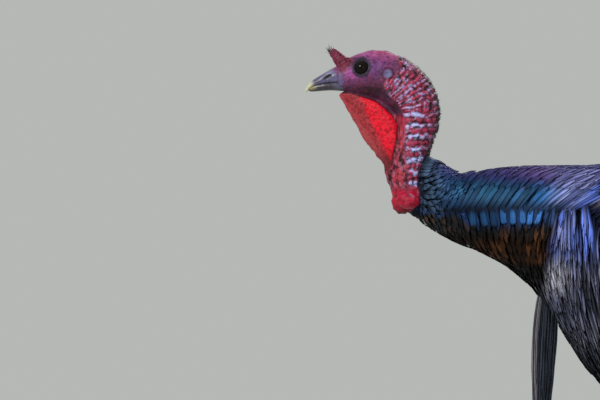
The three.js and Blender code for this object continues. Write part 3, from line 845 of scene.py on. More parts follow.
def lie_hanging(points):
    """Below the parting they hang, spreading forward from the top of the breast."""
    x, z = points[:, 0], points[:, 2]
    spread = 15 * ramp(z, 425, 490) * np.exp(-((x + 262) / 20) ** 2)
    return headings(np.interp(x, [-390, -340, -250, -190, -120, -60], [64, 80, 86, 78, 58, 40]) + spread)


def walked(roots, lie, length, steps, turn, ground):
    """Tracks over the coat: from each root, steps that follow the lie, turned aside a little."""
    spots, normals, _ = ground.settle(roots)
    path, upward, sideward = [], [], []
    for _ in range(steps):
        heading = lie(spots)
        heading = unit(heading - (heading * normals).sum(axis=1)[:, None] * normals)
        aside = np.cross(normals, heading)
        heading = heading * np.cos(turn)[:, None] + aside * np.sin(turn)[:, None]
        path.append(spots)
        upward.append(normals)
        sideward.append(np.cross(normals, heading))
        spots, normals, _ = ground.settle(spots + heading * (length / (steps - 1))[:, None])
    return (np.stack(part, axis=1) for part in (path, upward, sideward))


def vane_faces(along, across):
    """The faces of one closed vane: its top in rows, and an underside that meets in a keel."""
    size, quads, caps = along * across, [], []
    for row in range(along - 1):
        for column in range(across - 1):
            here = row * across + column
            quads.append((here, here + 1, here + across + 1, here + across))
        left, right, mid = row * across, row * across + across - 1, size + row
        quads.append((left, left + across, mid + 1, mid))
        quads.append((mid, mid + 1, right + across, right))
    for column in range(across - 1):
        caps.append((column + 1, column, size))
        caps.append((size - across + column, size - across + column + 1, size + along - 1))
    return np.array(quads), np.array(caps)


def lay_vanes(roots, lie, length, width, across=7, along=8, sink=5.0, lift=0.2, camber=0.1, roll=0.05,
              tilt=0.0, rounding=0.1, ragged=0.05, waist=0.4, blunt=3.0, tip=0.38, comb=0.0, strands=True,
              stray=3.0, tracks=None, ground=None, shade=1.0, seed=0):
    """Thin closed vanes that follow the coat, or tracks of their own, from their roots; as arrays."""
    chance = np.random.default_rng(seed)
    count = len(roots)
    length = length * chance.uniform(0.92, 1.08, count) * np.ones(count)
    width = width * chance.uniform(0.93, 1.07, count) * np.ones(count)
    own = chance.uniform(0, 1, count)
    steps = along + 2
    if ground is None:
        ground, sink = coat, np.minimum(sink, 0.9 * coat_depth(roots) + 0.4)
    sink, lift = (np.reshape(value * np.ones(count), (count, 1, 1)) for value in (sink, lift))
    if tracks is None:
        turn = np.radians(chance.normal(0, stray, count))
        path, upward, sideward = walked(roots, lie, length, steps, turn, ground)
    else:
        path, upward, sideward = tracks(steps)
    part_along = np.linspace(0, 1, along) ** 0.85
    part_across = np.linspace(-1, 1, across)
    down, over = part_along[None, :, None], part_across[None, None, :]
    fray = chance.uniform(0, ragged, (count, 1, across)) * down ** 4
    reach = down * (1 - rounding * over ** 2 * down ** 3) - fray
    spot = np.clip(reach, 0, 0.9999) * (steps - 1)
    low = np.floor(spot).astype(int)
    share = (spot - low)[..., None]
    rows = np.arange(count)[:, None, None]
    centre, aside, outward = (track[rows, low] * (1 - share) + track[rows, low + 1] * share
                              for track in (path, sideward, upward))
    narrowing = np.clip((part_along - 0.7) / 0.3, 0, 1) ** blunt
    shape = (waist + (1 - waist) * ramp(part_along, 0, 0.5)) * (1 - (1 - tip) * narrowing)
    notch = 1 - chance.uniform(0, ragged * 2.2, (count, along, across)) * np.abs(over)
    half = width[:, None, None] / 2
    sway = half * shape[None, :, None] * over * notch
    settled = centre + aside * sway[..., None]
    if tracks is None:
        settled, outward, _ = ground.settle(settled.reshape(-1, 3))
        settled, outward = settled.reshape(aside.shape), outward.reshape(aside.shape)
    grooves = comb * chance.uniform(-1, 1, (count, 1, across)) * ramp(part_along, 0.1, 0.5)[None, :, None]
    height = -sink * (1 - down) ** 1.15 + lift * chance.uniform(0.4, 1.6, (count, 1, 1)) * down ** 2
    height = height - camber * (sway / half) ** 2 * width[:, None, None] / 2
    leaning = roll * chance.normal(0, 1, (count, 1, 1)) + np.reshape(tilt * np.ones(count), (count, 1, 1))
    height = height + leaning * sway + grooves
    top = settled + outward * height[..., None]
    keel = top[:, :, across // 2] - outward[:, :, across // 2] * KEEL
    sheet = np.concatenate([top.reshape(count, -1, 3), keel], axis=1)
    start = np.arange(count)[:, None, None] * sheet.shape[1]
    quads, caps = vane_faces(along, across)
    u = np.tile(np.concatenate([np.tile(part_across, along), np.zeros(along)]), (count, 1))
    v = np.tile(np.concatenate([np.repeat(part_along, across), part_along]), (count, 1))
    number = np.tile(own[:, None], (1, u.shape[1]))
    breadth, distance = u * width[:, None] / 2, v * length[:, None]
    if not strands:
        breadth, distance = distance - 0.7 * np.abs(breadth), np.abs(breadth)
    home = np.repeat(np.arange(count), sheet.shape[1])
    return {"points": sheet.reshape(-1, 3), "quads": (quads[None] + start).reshape(-1, 4),
            "caps": (caps[None] + start).reshape(-1, 3),
            "vane": np.stack([u, v, number], axis=2).reshape(-1, 3),
            "barb": np.stack([breadth, distance, number * BARB_SPREAD], axis=2).reshape(-1, 3),
            "root": roots[home], "shade": (shade * np.ones(count))[home]}


def gathered(batches):
    """Several batches of vanes as one."""
    shift, whole = 0, {key: [] for key in batches[0]}
    for batch in batches:
        for key, value in batch.items():
            whole[key].append(value + shift if key in ("quads", "caps") else value)
        shift += len(batch["points"])
    return {key: np.concatenate(value) for key, value in whole.items()}


def feather_object(name, batch, colours, material):
    """One tract as a plain mesh, with its colours, barbs and bake map, riding on the bird."""
    points, quads, caps = batch["points"], batch["quads"], batch["caps"]
    mesh = bpy.data.meshes.new(name)
    mesh.vertices.add(len(points))
    mesh.vertices.foreach_set("co", (points * MM).ravel())
    corners = np.concatenate([quads.ravel(), caps.ravel()]).astype(np.int32)
    mesh.loops.add(len(corners))
    mesh.loops.foreach_set("vertex_index", corners)
    sizes = np.concatenate([np.full(len(quads), 4), np.full(len(caps), 3)])
    mesh.polygons.add(len(sizes))
    mesh.polygons.foreach_set("loop_start", (np.cumsum(sizes) - sizes).astype(np.int32))
    mesh.update(calc_edges=True)
    shade_smooth(mesh)
    for label in ("vane", "barb"):
        layer = mesh.attributes.new(label, "FLOAT_VECTOR", "POINT")
        layer.data.foreach_set("vector", batch[label].ravel())
    add_colours(mesh, colours)
    roots, home = np.unique(batch["root"], axis=0, return_inverse=True)
    faces = skin_ground.settle(roots)[2]
    patch = skin_face_flat[faces][home.ravel()] + batch["vane"][:, :2] * [0.0015, 0.003] - [0, 0.0015]
    flat = mesh.uv_layers.new(name="OFBake")
    flat.data.foreach_set("uv", np.clip(patch, 0.0005, 0.9995)[corners].ravel())
    made = new_object(name, mesh)
    mesh.materials.append(material)
    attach(made, "root")
    return made


def tract(name, batches, paint, material):
    """Batches of vanes as one piece, in the colours that a function gives them."""
    whole = gathered(batches)
    feather_object(name, whole, paint(whole), material)


def barb_group():
    """Barbs of a feather: streaks of shade along them, painted shade at the rim and over the covered root,
    a dark tip, a roughness and a height.
    """
    tree, given, put = new_group("feather_barbs", Colour=None, Tip_Colour=None, Tip_Start=0.9, Rim=0.7,
                                 Streak=0.6, Barb=1.2, Root=0.15)
    barb = attribute(tree, "barb", "Vector")
    vane = add_node(tree, "SeparateXYZ", Vector=attribute(tree, "vane", "Vector")).outputs
    spread = add_node(tree, "CombineXYZ", X=given["Barb"], Y=0.11, Z=1.0).outputs[0]
    laid = add_node(tree, "VectorMath", {"operation": "MULTIPLY"}, i0=barb, i1=spread).outputs[0]
    strand = add_node(tree, "TexNoise", Vector=laid, Scale=1.0, Detail=3.0, Roughness=0.65).outputs["Fac"]
    clump_at = add_node(tree, "VectorMath", {"operation": "MULTIPLY"}, i0=barb, i1=(0.28, 0.04, 1.7))
    clump = add_node(tree, "TexNoise", Vector=clump_at.outputs[0], Scale=1.0, Detail=1.0).outputs["Fac"]
    level = calc(tree, "ADD", calc(tree, "MULTIPLY", strand, 2.4), calc(tree, "MULTIPLY", clump, 0.9))
    shade = calc(tree, "MAXIMUM", calc(tree, "SUBTRACT", level, 0.65), 0.12)
    shade = calc(tree, "MULTIPLY_ADD", calc(tree, "SUBTRACT", shade, 1.0), given["Streak"], 1.0)
    # Painted shade along the edges of each vane, standing for the dark gap to its neighbour.
    rim = soft_step(tree, calc(tree, "ABSOLUTE", vane["X"]), 0.74, 1.0)
    rim_shade = calc(tree, "SUBTRACT", 1.0, calc(tree, "MULTIPLY", rim, given["Rim"]))
    # Painted shade over the root part of each vane, where the feathers before it lie over it.
    root = soft_step(tree, vane["Y"], 0.2, 0.62, given["Root"])
    shade = calc(tree, "MULTIPLY", calc(tree, "MULTIPLY", shade, rim_shade), root)
    ragged_tip = calc(tree, "MULTIPLY_ADD", strand, 0.06, calc(tree, "SUBTRACT", vane["Y"], 0.03))
    tip = soft_step(tree, ragged_tip, given["Tip Start"], calc(tree, "ADD", given["Tip Start"], 0.035))
    marked = mixed(tree, tip, given["Colour"], given["Tip Colour"])
    link(tree, put, Colour=darkened(tree, marked, shade),
         Roughness=calc(tree, "MULTIPLY_ADD", strand, 0.35, 0.28),
         Height=calc(tree, "ADD", strand, calc(tree, "MULTIPLY", rim, -0.6)))
    return tree


BARBS = barb_group()


def feather_material(name, tip_colour, tip_start, rim, streak, bump, barb=1.2, root=0.15, **sockets):
    material, tree, shader = new_material(name, **sockets)
    barbs = add_node(tree, "Group", {"node_tree": BARBS}, Colour=attribute(tree, "tint"),
                     Tip_Colour=(*tip_colour, 1), Tip_Start=tip_start, Rim=rim, Streak=streak, Barb=barb,
                     Root=root).outputs
    surfaced(tree, shader, barbs, barbs["Colour"], bump, 0.0005)
    return material


def neck_colours(batch):
    """Iridescent bands along the neck, and violet to grey strands over the breast. The hues are the
    feathers' own; their fixed bands by height are painted sheen, where the light catches the neck.
    """
    points, vane = batch["points"], batch["vane"]
    x, _, z = points.T
    own = vane[:, 2]
    under = parting_height(x) - z
    purple = z - np.interp(x, [-390, -340, -240, -200], [547, 541, 532, 525])
    light = ramp(x, -265, -232) * ramp(-under, -4, 4)
    # A painted highlight down the middle of the pale lavender feathers just over the parting.
    shaft = light * (1 - ramp(np.abs(vane[:, 0]), 0.05, 0.5)) * ramp(own, 0.3, 0.5)
    bronze = blend((0.014, 0.007, 0.004),
                   ((0.085, 0.032, 0.013), ramp(lumps(batch["root"], 9, 91) + own - 0.6, 0.0, 0.7)),
                   ((0.006, 0.018, 0.026), ramp(-under, -36, -18) * 0.5),
                   # Painted shade: near-black low on the underside of the neck.
                   ((0.003, 0.003, 0.004), ramp(under, 48, 62)))
    blue_row = ramp(x, -348, -332)
    # Painted shade in the furrow along the parting.
    parting_groove_shade = np.exp(-((under - 0.5) / 2.2) ** 2) * (1 - ramp(x, -320, -285))
    breast = blend((0.105, 0.113, 0.175),
                   ((0.088, 0.15, 0.56), ramp(z, 440, 475)),
                   ((0.15, 0.26, 0.96), blot(x, z, (-228, 494), (20, 22)) * ramp(own, 0.0, 0.3)),
                   ((0.2, 0.22, 0.4), 0.7 * ramp(own, 0.66, 0.78) * ramp(z, 370, 430)),
                   ((0.2, 0.2, 0.24), 0.7 * ramp(own, 0.6, 0.7) * ramp(-z, -410, -370)),
                   ((0.02, 0.021, 0.026), ramp(-z, -390, -330) * 0.6),
                   ((0.01, 0.01, 0.014), ramp(-own, -0.42, -0.2) * 0.7),
                   ((0.84, 0.83, 1.0), 0.85 * blot(x, z, (-249, 438), (11, 15)) * (0.5 + 0.5 * own)))
    front = np.interp(z, [300, 420, 445, 470, 500, 512], [-300, -262, -256, -252, -246, -240])
    return batch["shade"][:, None] * blend(
        (0.013, 0.036, 0.11),
        ((0.016, 0.062, 0.13), blot(x, z, (-300, 520), (60, 12))),
        ((0.026, 0.15, 0.43), 0.9 * blot(x, z, (-262, 524), (32, 12)) * ramp(own, 0.1, 0.5)),
        ((0.018, 0.09, 0.18), 0.8 * blot(x, z, (-325, 524), (45, 8)) * ramp(own, 0.3, 0.6)),
        ((0.044, 0.038, 0.17), ramp(purple, -9, 6)),
        ((0.16, 0.105, 0.32), 0.9 * ramp(purple, -4, 10) * ramp(x, -320, -235)),
        ((0.12, 0.04, 0.08), 0.6 * blot(x, z, (-272, 531), (14, 6)) * ramp(own, 0.4, 0.7)),
        ((0.13, 0.15, 0.38), light * 0.7),
        ((0.36, 0.4, 0.8), shaft * ramp(under, -30, -16)),
        (bronze, ramp((under + 3 * (own - 0.5) - 3 - 11 * blue_row) / (5 + 3 * blue_row), 0, 1)),
        ((0.01, 0.007, 0.005), 0.8 * parting_groove_shade),
        ((0.028, 0.05, 0.09), (1 - ramp(x, -376, -346)) * ramp(-under, -6, 2)),
        (breast, ramp(x - front, -7, 7) * (1 - ramp(-under, -1, 3))),
        ((0.06, 0.055, 0.15), 0.7 * ramp(x, -206, -180)))


def patch_colours(batch):
    """The square blue feathers in a row under the parting, brighter towards the breast."""
    x, _, z = batch["points"].T
    own = batch["vane"][:, 2]
    under = parting_height(x) - z
    colour = blend((0.014, 0.062, 0.16),
                   ((0.026, 0.115, 0.35), ramp(x, -335, -285)),
                   ((0.004, 0.01, 0.02), 1 - ramp(own, 0.05, 0.3) * 0.6 - 0.4),
                   ((0.012, 0.01, 0.01), ramp(under + 2 * own, 15, 19)))
    colour *= (0.55 + 0.5 * own)[:, None]
    # Darker along the parting: painted shade in its furrow.
    return colour * (1 - 0.5 * np.exp(-((under - 0.5) / 1.6) ** 2))[:, None]


def lie_collar(points):
    """Round the collar small feathers turn from the neck's own line to that of the body."""
    x, z = points[:, 0], points[:, 2]
    angle = np.interp(z, [498, 506, 520, 540, 550, 560, 590, 620], [48, 36, 6, 4, 20, 40, 62, 80])
    further = np.interp(z - parting_height(x), [-6, 6, 30, 40], [72, -52, -40, 6])
    return headings(angle + (further - angle) * ramp(x, -380, -352))


def bridged(starts, ends):
    """Tracks across the corner between the nape and the back of the neck, from the skin to the coat."""
    start, start_normal, _ = skin_ground.settle(starts)
    end, end_normal, _ = coat.settle(ends)

    def tracks(steps):
        share = np.linspace(0, 1, steps)[None, :, None]
        path = start[:, None] * (1 - share) + end[:, None] * share
        upward = unit(start_normal[:, None] * (1 - share) + end_normal[:, None] * share)
        heading = np.broadcast_to(unit(end - start)[:, None], path.shape)
        return path, upward, unit(np.cross(upward, heading))
    return tracks


def spaced(places, apart, seed):
    """Some of the places, taken in a random order so that none is nearer to another than asked."""
    kept, cells = [], {}
    for place in np.random.default_rng(seed).permutation(places):
        cell = tuple((place // apart).astype(int))
        around = [cells.get((cell[0] + i, cell[1] + j, cell[2] + k), [])
                  for i in (-1, 0, 1) for j in (-1, 0, 1) for k in (-1, 0, 1)]
        if all(np.linalg.norm(place - other) > apart for near in around for other in near):
            cells.setdefault(cell, []).append(place)
            kept.append(place)
    return np.array(kept)


SCALE = {"across": 5, "rounding": 0.25, "ragged": 0.12, "tip": 0.55, "blunt": 2.0, "waist": 0.8}
neck_batches, breast_batches, patch_batches = [], [], []

# Where the skin leaves the plumage: fine feathers round the collar, scales over the corner under the nape.
x, _, z = skin_map_points.T
collar_from = np.interp(z, [495, 503, 510, 530, 545, 556, 566, 580, 600, 615],
                        [-396, -392, -384, -387, -385, -380, -373, -366, -364, -366])
ahead = np.interp(z, [504, 508, 540, 550], [7, 3, 3, 0])
edge = (x > collar_from - ahead) & (x < collar_from + 12) & (z > 492) & (z < 592) & (x < -352)
roots = spaced(skin_map_points[edge], 3.2, 77)
neck_batches.append(lay_vanes(roots, lie_collar, np.interp(roots[:, 2], [503, 514], [8, 12]), 5.0, across=5,
                              along=7, sink=1.2, lift=0.5, rounding=0.2, ragged=0.2, stray=8,
                              ground=skin_ground, shade=1.7, seed=81))
nape = (x > np.interp(z, [546, 556, 566], [-384, -380, -374])) & (z > 538) & (z < 558.5) & (x < -358)
roots = spaced(skin_map_points[nape], 3.4, 79)
ends = roots + headings(np.interp(roots[:, 2], [540, 552, 562], [-2, 4, 26])) * 14
neck_batches.append(lay_vanes(roots, lie_collar, 15, 5.6, sink=0.8, lift=0.3, camber=0.15, roll=0.03,
                              shade=1.6, tracks=bridged(roots, ends), seed=83, **SCALE))
x, _, z = lay_points.T
collar = x > np.interp(z, [490, 520, 540, 548], [-392, -390, -384, -370])
collar &= x < -350 - 3 * ramp(z, 532, 540)
roots = spaced(lay_points[collar], 3.7, 78)
growing = ramp(roots[:, 0], -392, -350)
reach = (11 + 9 * growing) * (1 - 0.35 * ramp(roots[:, 2], 528, 538) * ramp(roots[:, 0], -366, -352))
neck_batches.append(lay_vanes(roots, lie_collar, reach, 4.8 + 1.8 * growing, sink=3.0, lift=0.05, roll=0.02,
                              stray=5, shade=1.15 + 0.5 * ramp(-roots[:, 0], 350, 365), seed=82, **SCALE))

# Rings down the neck, sweeping up over the parting and hanging below it, every second one darker:
# painted shade where one ring laps over the next.
for index, middle_x in enumerate(np.arange(-388, -232, NECK_RING / 2)):
    line = ring_line(middle_x, UPWARD_LEAN)
    if len(line) < LEAST_LINE:
        continue
    chance = np.random.default_rng(200 + index)
    (over, over_sink), (under, under_sink) = parted(line, 15, 14, chance, 3.0)
    # Every second ring is painted darker, as shade where the rings overlap.
    shade = 1.0 if index % 2 else 0.72
    rising = (over[:, 2] < np.interp(over[:, 0], [-366, -358, -354], [520, 536, 600])) & (over[:, 0] > -368)
    over, over_sink = over[rising], over_sink[rising]
    growing = ramp(over[:, 0], -368, -335)
    if len(over):
        neck_batches.append(lay_vanes(over + chance.normal(0, 0.5, over.shape), lie_upward, 20 + 20 * growing,
                                      5.2 + 1.4 * growing, across=5, along=10, sink=over_sink, lift=0.1,
                                      camber=0.05, comb=0.1, tip=0.8, waist=0.85, rounding=0.12, ragged=0.07,
                                      roll=0.012, tilt=0.02, stray=1.2, shade=shade, seed=100 + index))
    behind = under[:, 0] > -370
    under, under_sink = under[behind], under_sink[behind]
    if middle_x > -212 or not len(under):
        continue
    growing = ramp(under[:, 0], -370, -345)
    neck_batches.append(lay_vanes(under + chance.normal(0, 0.7, under.shape), lie_hanging, 18 + 16 * growing,
                                  5.2 + 1.6 * growing, across=5, along=9, sink=under_sink,
                                  lift=0.1 - 1.4 * ramp(under[:, 0], -262, -252), camber=0.16, comb=0.12,
                                  tip=0.6, blunt=2.0, waist=0.8, rounding=0.2, ragged=0.12, stray=2.5,
                                  shade=shade, seed=130 + index))

# The row of square blue feathers under the parting.
for index, middle_x in enumerate(np.arange(-336.8, -262, 10.2)):
    chance = np.random.default_rng(260 + index)
    under = parted(ring_line(middle_x, UPWARD_LEAN), 40, 400, chance)[1][0]
    patch_batches.append(lay_vanes(under, lie_hanging, chance.uniform(22, 27), 7.2, along=9, sink=1.6,
                                   lift=1.1, camber=0.08, comb=0.15, tip=0.85, blunt=4, waist=0.75,
                                   rounding=0.06, ragged=0.07, roll=0.03, stray=2.5, seed=280 + index))

# Long narrow strands of the breast, and short ones over the front of the shoulder.
for index, middle_x in enumerate(np.arange(-264, -140, BREAST_RING)):
    chance = np.random.default_rng(300 + index)
    (over, over_sink), (under, under_sink) = parted(ring_line(middle_x, 38), 17, BREAST_STEP, chance, 12.0)
    under = under + chance.normal(0, 0.9, under.shape)
    reach = chance.uniform(40, 72, len(under))
    breast_batches.append(lay_vanes(under, lie_hanging, reach, 3.9, across=3, along=11, sink=under_sink,
                                    lift=0.5, camber=0.3, rounding=0.2, roll=0.12, stray=2.2, waist=0.8,
                                    blunt=2.0, tip=0.45, shade=chance.uniform(0.72, 1.1, len(under)),
                                    seed=400 + index))
    if middle_x > -206:
        continue
    breast_batches.append(lay_vanes(over, lie_upward, 44, 3.9, across=3, along=11, sink=over_sink, lift=0.1,
                                    camber=0.18, rounding=0.12, roll=0.04, stray=1.6, waist=0.85, tip=0.6,
                                    shade=chance.uniform(0.65, 1.05, len(over)), seed=500 + index))
shoulder = (x > -227) & (x < -190) & (z > hanging_top(x) - 5) & (z < parting_height(x) + 4)
roots = spaced(lay_points[shoulder], 3.1, 83)
chance = np.random.default_rng(84)
breast_batches.append(lay_vanes(roots, lie_upward, 38, 3.6, across=3, along=10,
                                sink=chance.uniform(2, 4.5, len(roots)), lift=0.9, camber=0.2, rounding=0.2,
                                ragged=0.06, roll=0.08, waist=0.8, blunt=2.0, tip=0.5,
                                shade=chance.uniform(0.35, 0.8, len(roots)), seed=85))
NECK_FEATHER = feather_material("neck_feather", (0.004, 0.005, 0.008), 0.98, 0.45, 0.7, 0.6, root=0.4,
                                Metallic=0.3, Specular_IOR_Level=0.08)
STRAND_FEATHER = feather_material("breast_feather", (0.004, 0.004, 0.007), 0.98, 0.65, 0.6, 0.7,
                                  Metallic=0.25, Specular_IOR_Level=0.1)
tract("neck_feathers", neck_batches, neck_colours, NECK_FEATHER)
tract("neck_blue_row", patch_batches, patch_colours, NECK_FEATHER)
tract("breast_feathers", breast_batches, neck_colours, STRAND_FEATHER)

# -------------------------------------------------------- contour feathers of back, flank and belly
# Broad square-ended feathers, coppery with a black tip, shingle the back and flanks; they grow longer and
# softer over the belly, and run down the thigh to end in small ones at the hock.
RING_PLACES = np.cumsum(np.interp(np.arange(25), [0, 8, 24], [9, 15, 18])) - 212
CONTOUR = {"ragged": 0.06, "roll": 0.02, "strands": False, "stray": 4}


def wing_top(x):
    return np.interp(x, [-224, -214, -198, -172, -122, -30, 58, 130, 183, 213, 230],
                     [512, 524, 532, 530, 527, 521, 499, 466, 431, 410, 395])


def wing_bottom(x):
    return np.interp(x, [-224, -214, -208, -198, -172, -122, -30, 58, 130, 183, 213, 230],
                     [504, 476, 462, 438, 383, 347, 321, 323, 348, 369, 379, 395])


def lie_of_body(points):
    """Feathers of back, flank and belly point to the tail, drooping down the sides."""
    x, _, z = points.T
    droop = np.interp(x, [-190, -120, 0, 150, 260], [40, 28, 16, 4, 0])
    high = ramp(z, 440, 540)
    return headings(droop * (1 - high) + 4 * high)


def contour_colours(batch):
    """Black-brown with coppery, violet and green lights, a darker belly and a purple-brown back."""
    root, vane = batch["root"], batch["vane"]
    x, _, z = batch["points"].T
    own = vane[:, 2]
    copper = blend((0.11, 0.05, 0.026),
                   ((0.066, 0.044, 0.07), lumps(root, 70, 121) + 0.3),
                   ((0.046, 0.066, 0.04), 0.6 * ramp(lumps(root, 45, 122) + 0.6 * (own - 0.5), 0.1, 0.6)))
    colour = blend((0.026, 0.02, 0.022),
                   (copper, (0.55 + 0.35 * own) * ramp(vane[:, 1], 0.5, 0.85) * ramp(z, 240, 320)),
                   ((0.08, 0.062, 0.17), 0.85 * (ramp(-x, 100, 205) * ramp(z, 420, 500))),
                   ((0.024, 0.018, 0.014), ramp(-z, -310, -245)),
                   ((0.09, 0.036, 0.016), 0.6 * ramp(x, 190, 300) * ramp(vane[:, 1], 0.6, 0.8)))
    return colour * (0.75 + 0.5 * own)[:, None]


body_batches = []
for index, middle_x in enumerate(RING_PLACES):
    chance = np.random.default_rng(580 + index)
    size = float(np.interp(middle_x, [-205, -100, 60], [13.0, 22.0, 27.0]))
    roots = both_sides(places_along(ring_line(middle_x), size * 0.66, start=size * 0.33 * (index % 2)))
    x, y, z = roots.T
    inside = (z < wing_top(x) - 2) & (z > wing_bottom(x) + 6) & (x < 84)
    inside |= (z < 240) & (np.abs(y) > 30)
    inside |= (x < -150) & (z < wing_top(x) - 6)
    roots = (roots + chance.normal(0, 0.9, roots.shape))[~inside]
    under = 1 - 0.35 * ramp(-roots[:, 2], -330, -250)
    body_batches.append(lay_vanes(roots, lie_of_body, 20 + size, size * under, across=9, along=9, sink=5.5,
                                  lift=0.5, rounding=0.14, tip=0.66, comb=0.12, seed=600 + index, **CONTOUR))
for index, middle_x in enumerate(np.arange(RING_PLACES[-1] + 16, 330, 17)):
    chance = np.random.default_rng(680 + index)
    roots = both_sides(places_along(ring_line(middle_x), 16, start=8 * (index % 2)))
    roots = roots + chance.normal(0, 1.2, roots.shape)
    body_batches.append(lay_vanes(roots, lie_of_body, 60, 28, across=9, along=10, lift=0.4, rounding=0.18,
                                  tip=0.62, comb=0.1, seed=700 + index, **CONTOUR))
CONTOUR_FEATHER = feather_material("contour_feather", (0.008, 0.006, 0.007), 0.885, 0.4, 0.6, 0.6, barb=1.1,
                                   Metallic=0.3, Specular_IOR_Level=0.2)
tract("body_feathers", body_batches, contour_colours, CONTOUR_FEATHER)

# The thigh's feathers stand in rings round its axis, smaller and closer towards the hock.
THIGH_TOP, THIGH_END = np.array([-66, 71, 300]), np.array([-6.5, 62, 170])
thigh_axis = unit(THIGH_END - THIGH_TOP)


def one_way(direction):
    """A lie that is the same for every feather."""
    return lambda points: np.tile(direction, (len(points), 1))


thigh_batches = []
for index, part in enumerate(np.concatenate([np.arange(-0.3, 0.75, 0.085), np.arange(0.77, 1.03, 0.055)])):
    centre = THIGH_TOP + (THIGH_END - THIGH_TOP) * part
    fine = float(ramp(part, 0.5, 1.0))
    girth = 2 * math.pi * np.interp(part, [0, 0.5, 1], [34, 23, 12])
    spokes = max(8, int(girth / (11 - 5 * fine)))
    turns = (np.arange(spokes) + 0.5 * (index % 2)) / spokes * 2 * math.pi
    aside = unit(np.cross(thigh_axis, [0, 1, 0]))
    ahead = np.cross(aside, thigh_axis)
    outward = np.cos(turns)[:, None] * aside + np.sin(turns)[:, None] * ahead
    hits = coat.strike(centre + outward * 62, -outward)
    near = np.linalg.norm(hits - centre, axis=1) < np.interp(part, [0, 0.5, 1], [58, 36, 17])
    roots = both_sides(hits[near & ~np.isnan(hits[:, 0])])
    if len(roots):
        thigh_batches.append(lay_vanes(roots, one_way(thigh_axis * [1, 0, 1]), 33 - 16 * fine, 17 - 8 * fine,
                                       across=5, sink=4.5 - 3.5 * fine, rounding=0.2, roll=0.02, tip=0.6,
                                       strands=False, stray=4, seed=800 + index))
tract("thigh_feathers", thigh_batches, contour_colours, CONTOUR_FEATHER)

# ------------------------------------------------------------------------------------- folded wings
# Each folded wing shows rows of coppery coverts growing larger towards the rear, then the long secondaries
# and primaries, dark brown barred with white, stacked like a closed fan with the uppermost feather on top.
WING_ROWS = [(-223, -150, 9, 8, 27, 13), (-150, -98, 14, 12, 36, 24), (-98, -52, 17, 14, 44, 28),
             (-52, 12, 22, 16, 58, 31)]
WING_QUILLS = 13
BESIDE = 400.0


def lie_of_wing(points):
    """From the shoulder the wing's feathers run back and draw together at its tip."""
    x, _, z = points.T
    share = np.clip((z - wing_bottom(x)) / (wing_top(x) - wing_bottom(x) + 1e-6), 0, 1)
    low = np.interp(x, [-214, -120, -40, 60, 213], [38, 32, 12, -6, -12])
    high = np.interp(x, [-224, -200, -120, -30, 60, 213], [-30, -20, 4, 12, 20, 22])
    return headings(low + (high - low) * share)


def side_grid(x, low, high, step, start):
    """Roots up the bird's left side, at one distance from the breast."""
    heights = np.arange(low + start, high, step)
    origins = np.stack([np.full(len(heights), x), np.full(len(heights), -BESIDE), heights], axis=1)
    hits = coat.strike(origins, np.tile([0.0, 1.0, 0.0], (len(heights), 1)))
    return hits[~np.isnan(hits[:, 0])]


def covert_colours(batch):
    """Violet-brown at the shoulder, coppery behind it, with green lights and dark roots."""
    x, own = batch["points"][:, 0], batch["vane"][:, 2]
    green = ramp(lumps(batch["root"], 50, 123) + 0.5 * (own - 0.5), 0.1, 0.6)
    colour = blend((0.052, 0.042, 0.08),
                   ((0.09, 0.05, 0.04), ramp(x, -190, -60)),
                   ((0.11, 0.058, 0.028), 0.8 * ramp(x, -110, 0)),
                   ((0.046, 0.064, 0.044), 0.6 * green),
                   ((0.075, 0.058, 0.15), 0.8 * ramp(-x, 165, 205)),
                   ((0.016, 0.014, 0.016), 1 - ramp(batch["vane"][:, 1], 0.45, 0.7)))
    return colour * (0.75 + 0.5 * own)[:, None]


for side, sign in SIDES.items():
    batches, row = [], 0
    for start_x, stop_x, pace, step, length, width in WING_ROWS:
        for x in np.arange(start_x, stop_x, pace):
            row += 1
            roots = side_grid(x, wing_bottom(x) + 3, wing_top(x) + 2, step, step / 2 * (row % 2))
            if len(roots):
                batches.append(lay_vanes(roots * [1, -sign, 1], lie_of_wing, length, width, along=9, sink=4.5,
                                         lift=0.4, rounding=0.14, tip=0.62, roll=0.015, comb=0.1,
                                         strands=False, seed=900 + row))
    tract(f"wing_coverts_{side}", batches, covert_colours, CONTOUR_FEATHER)


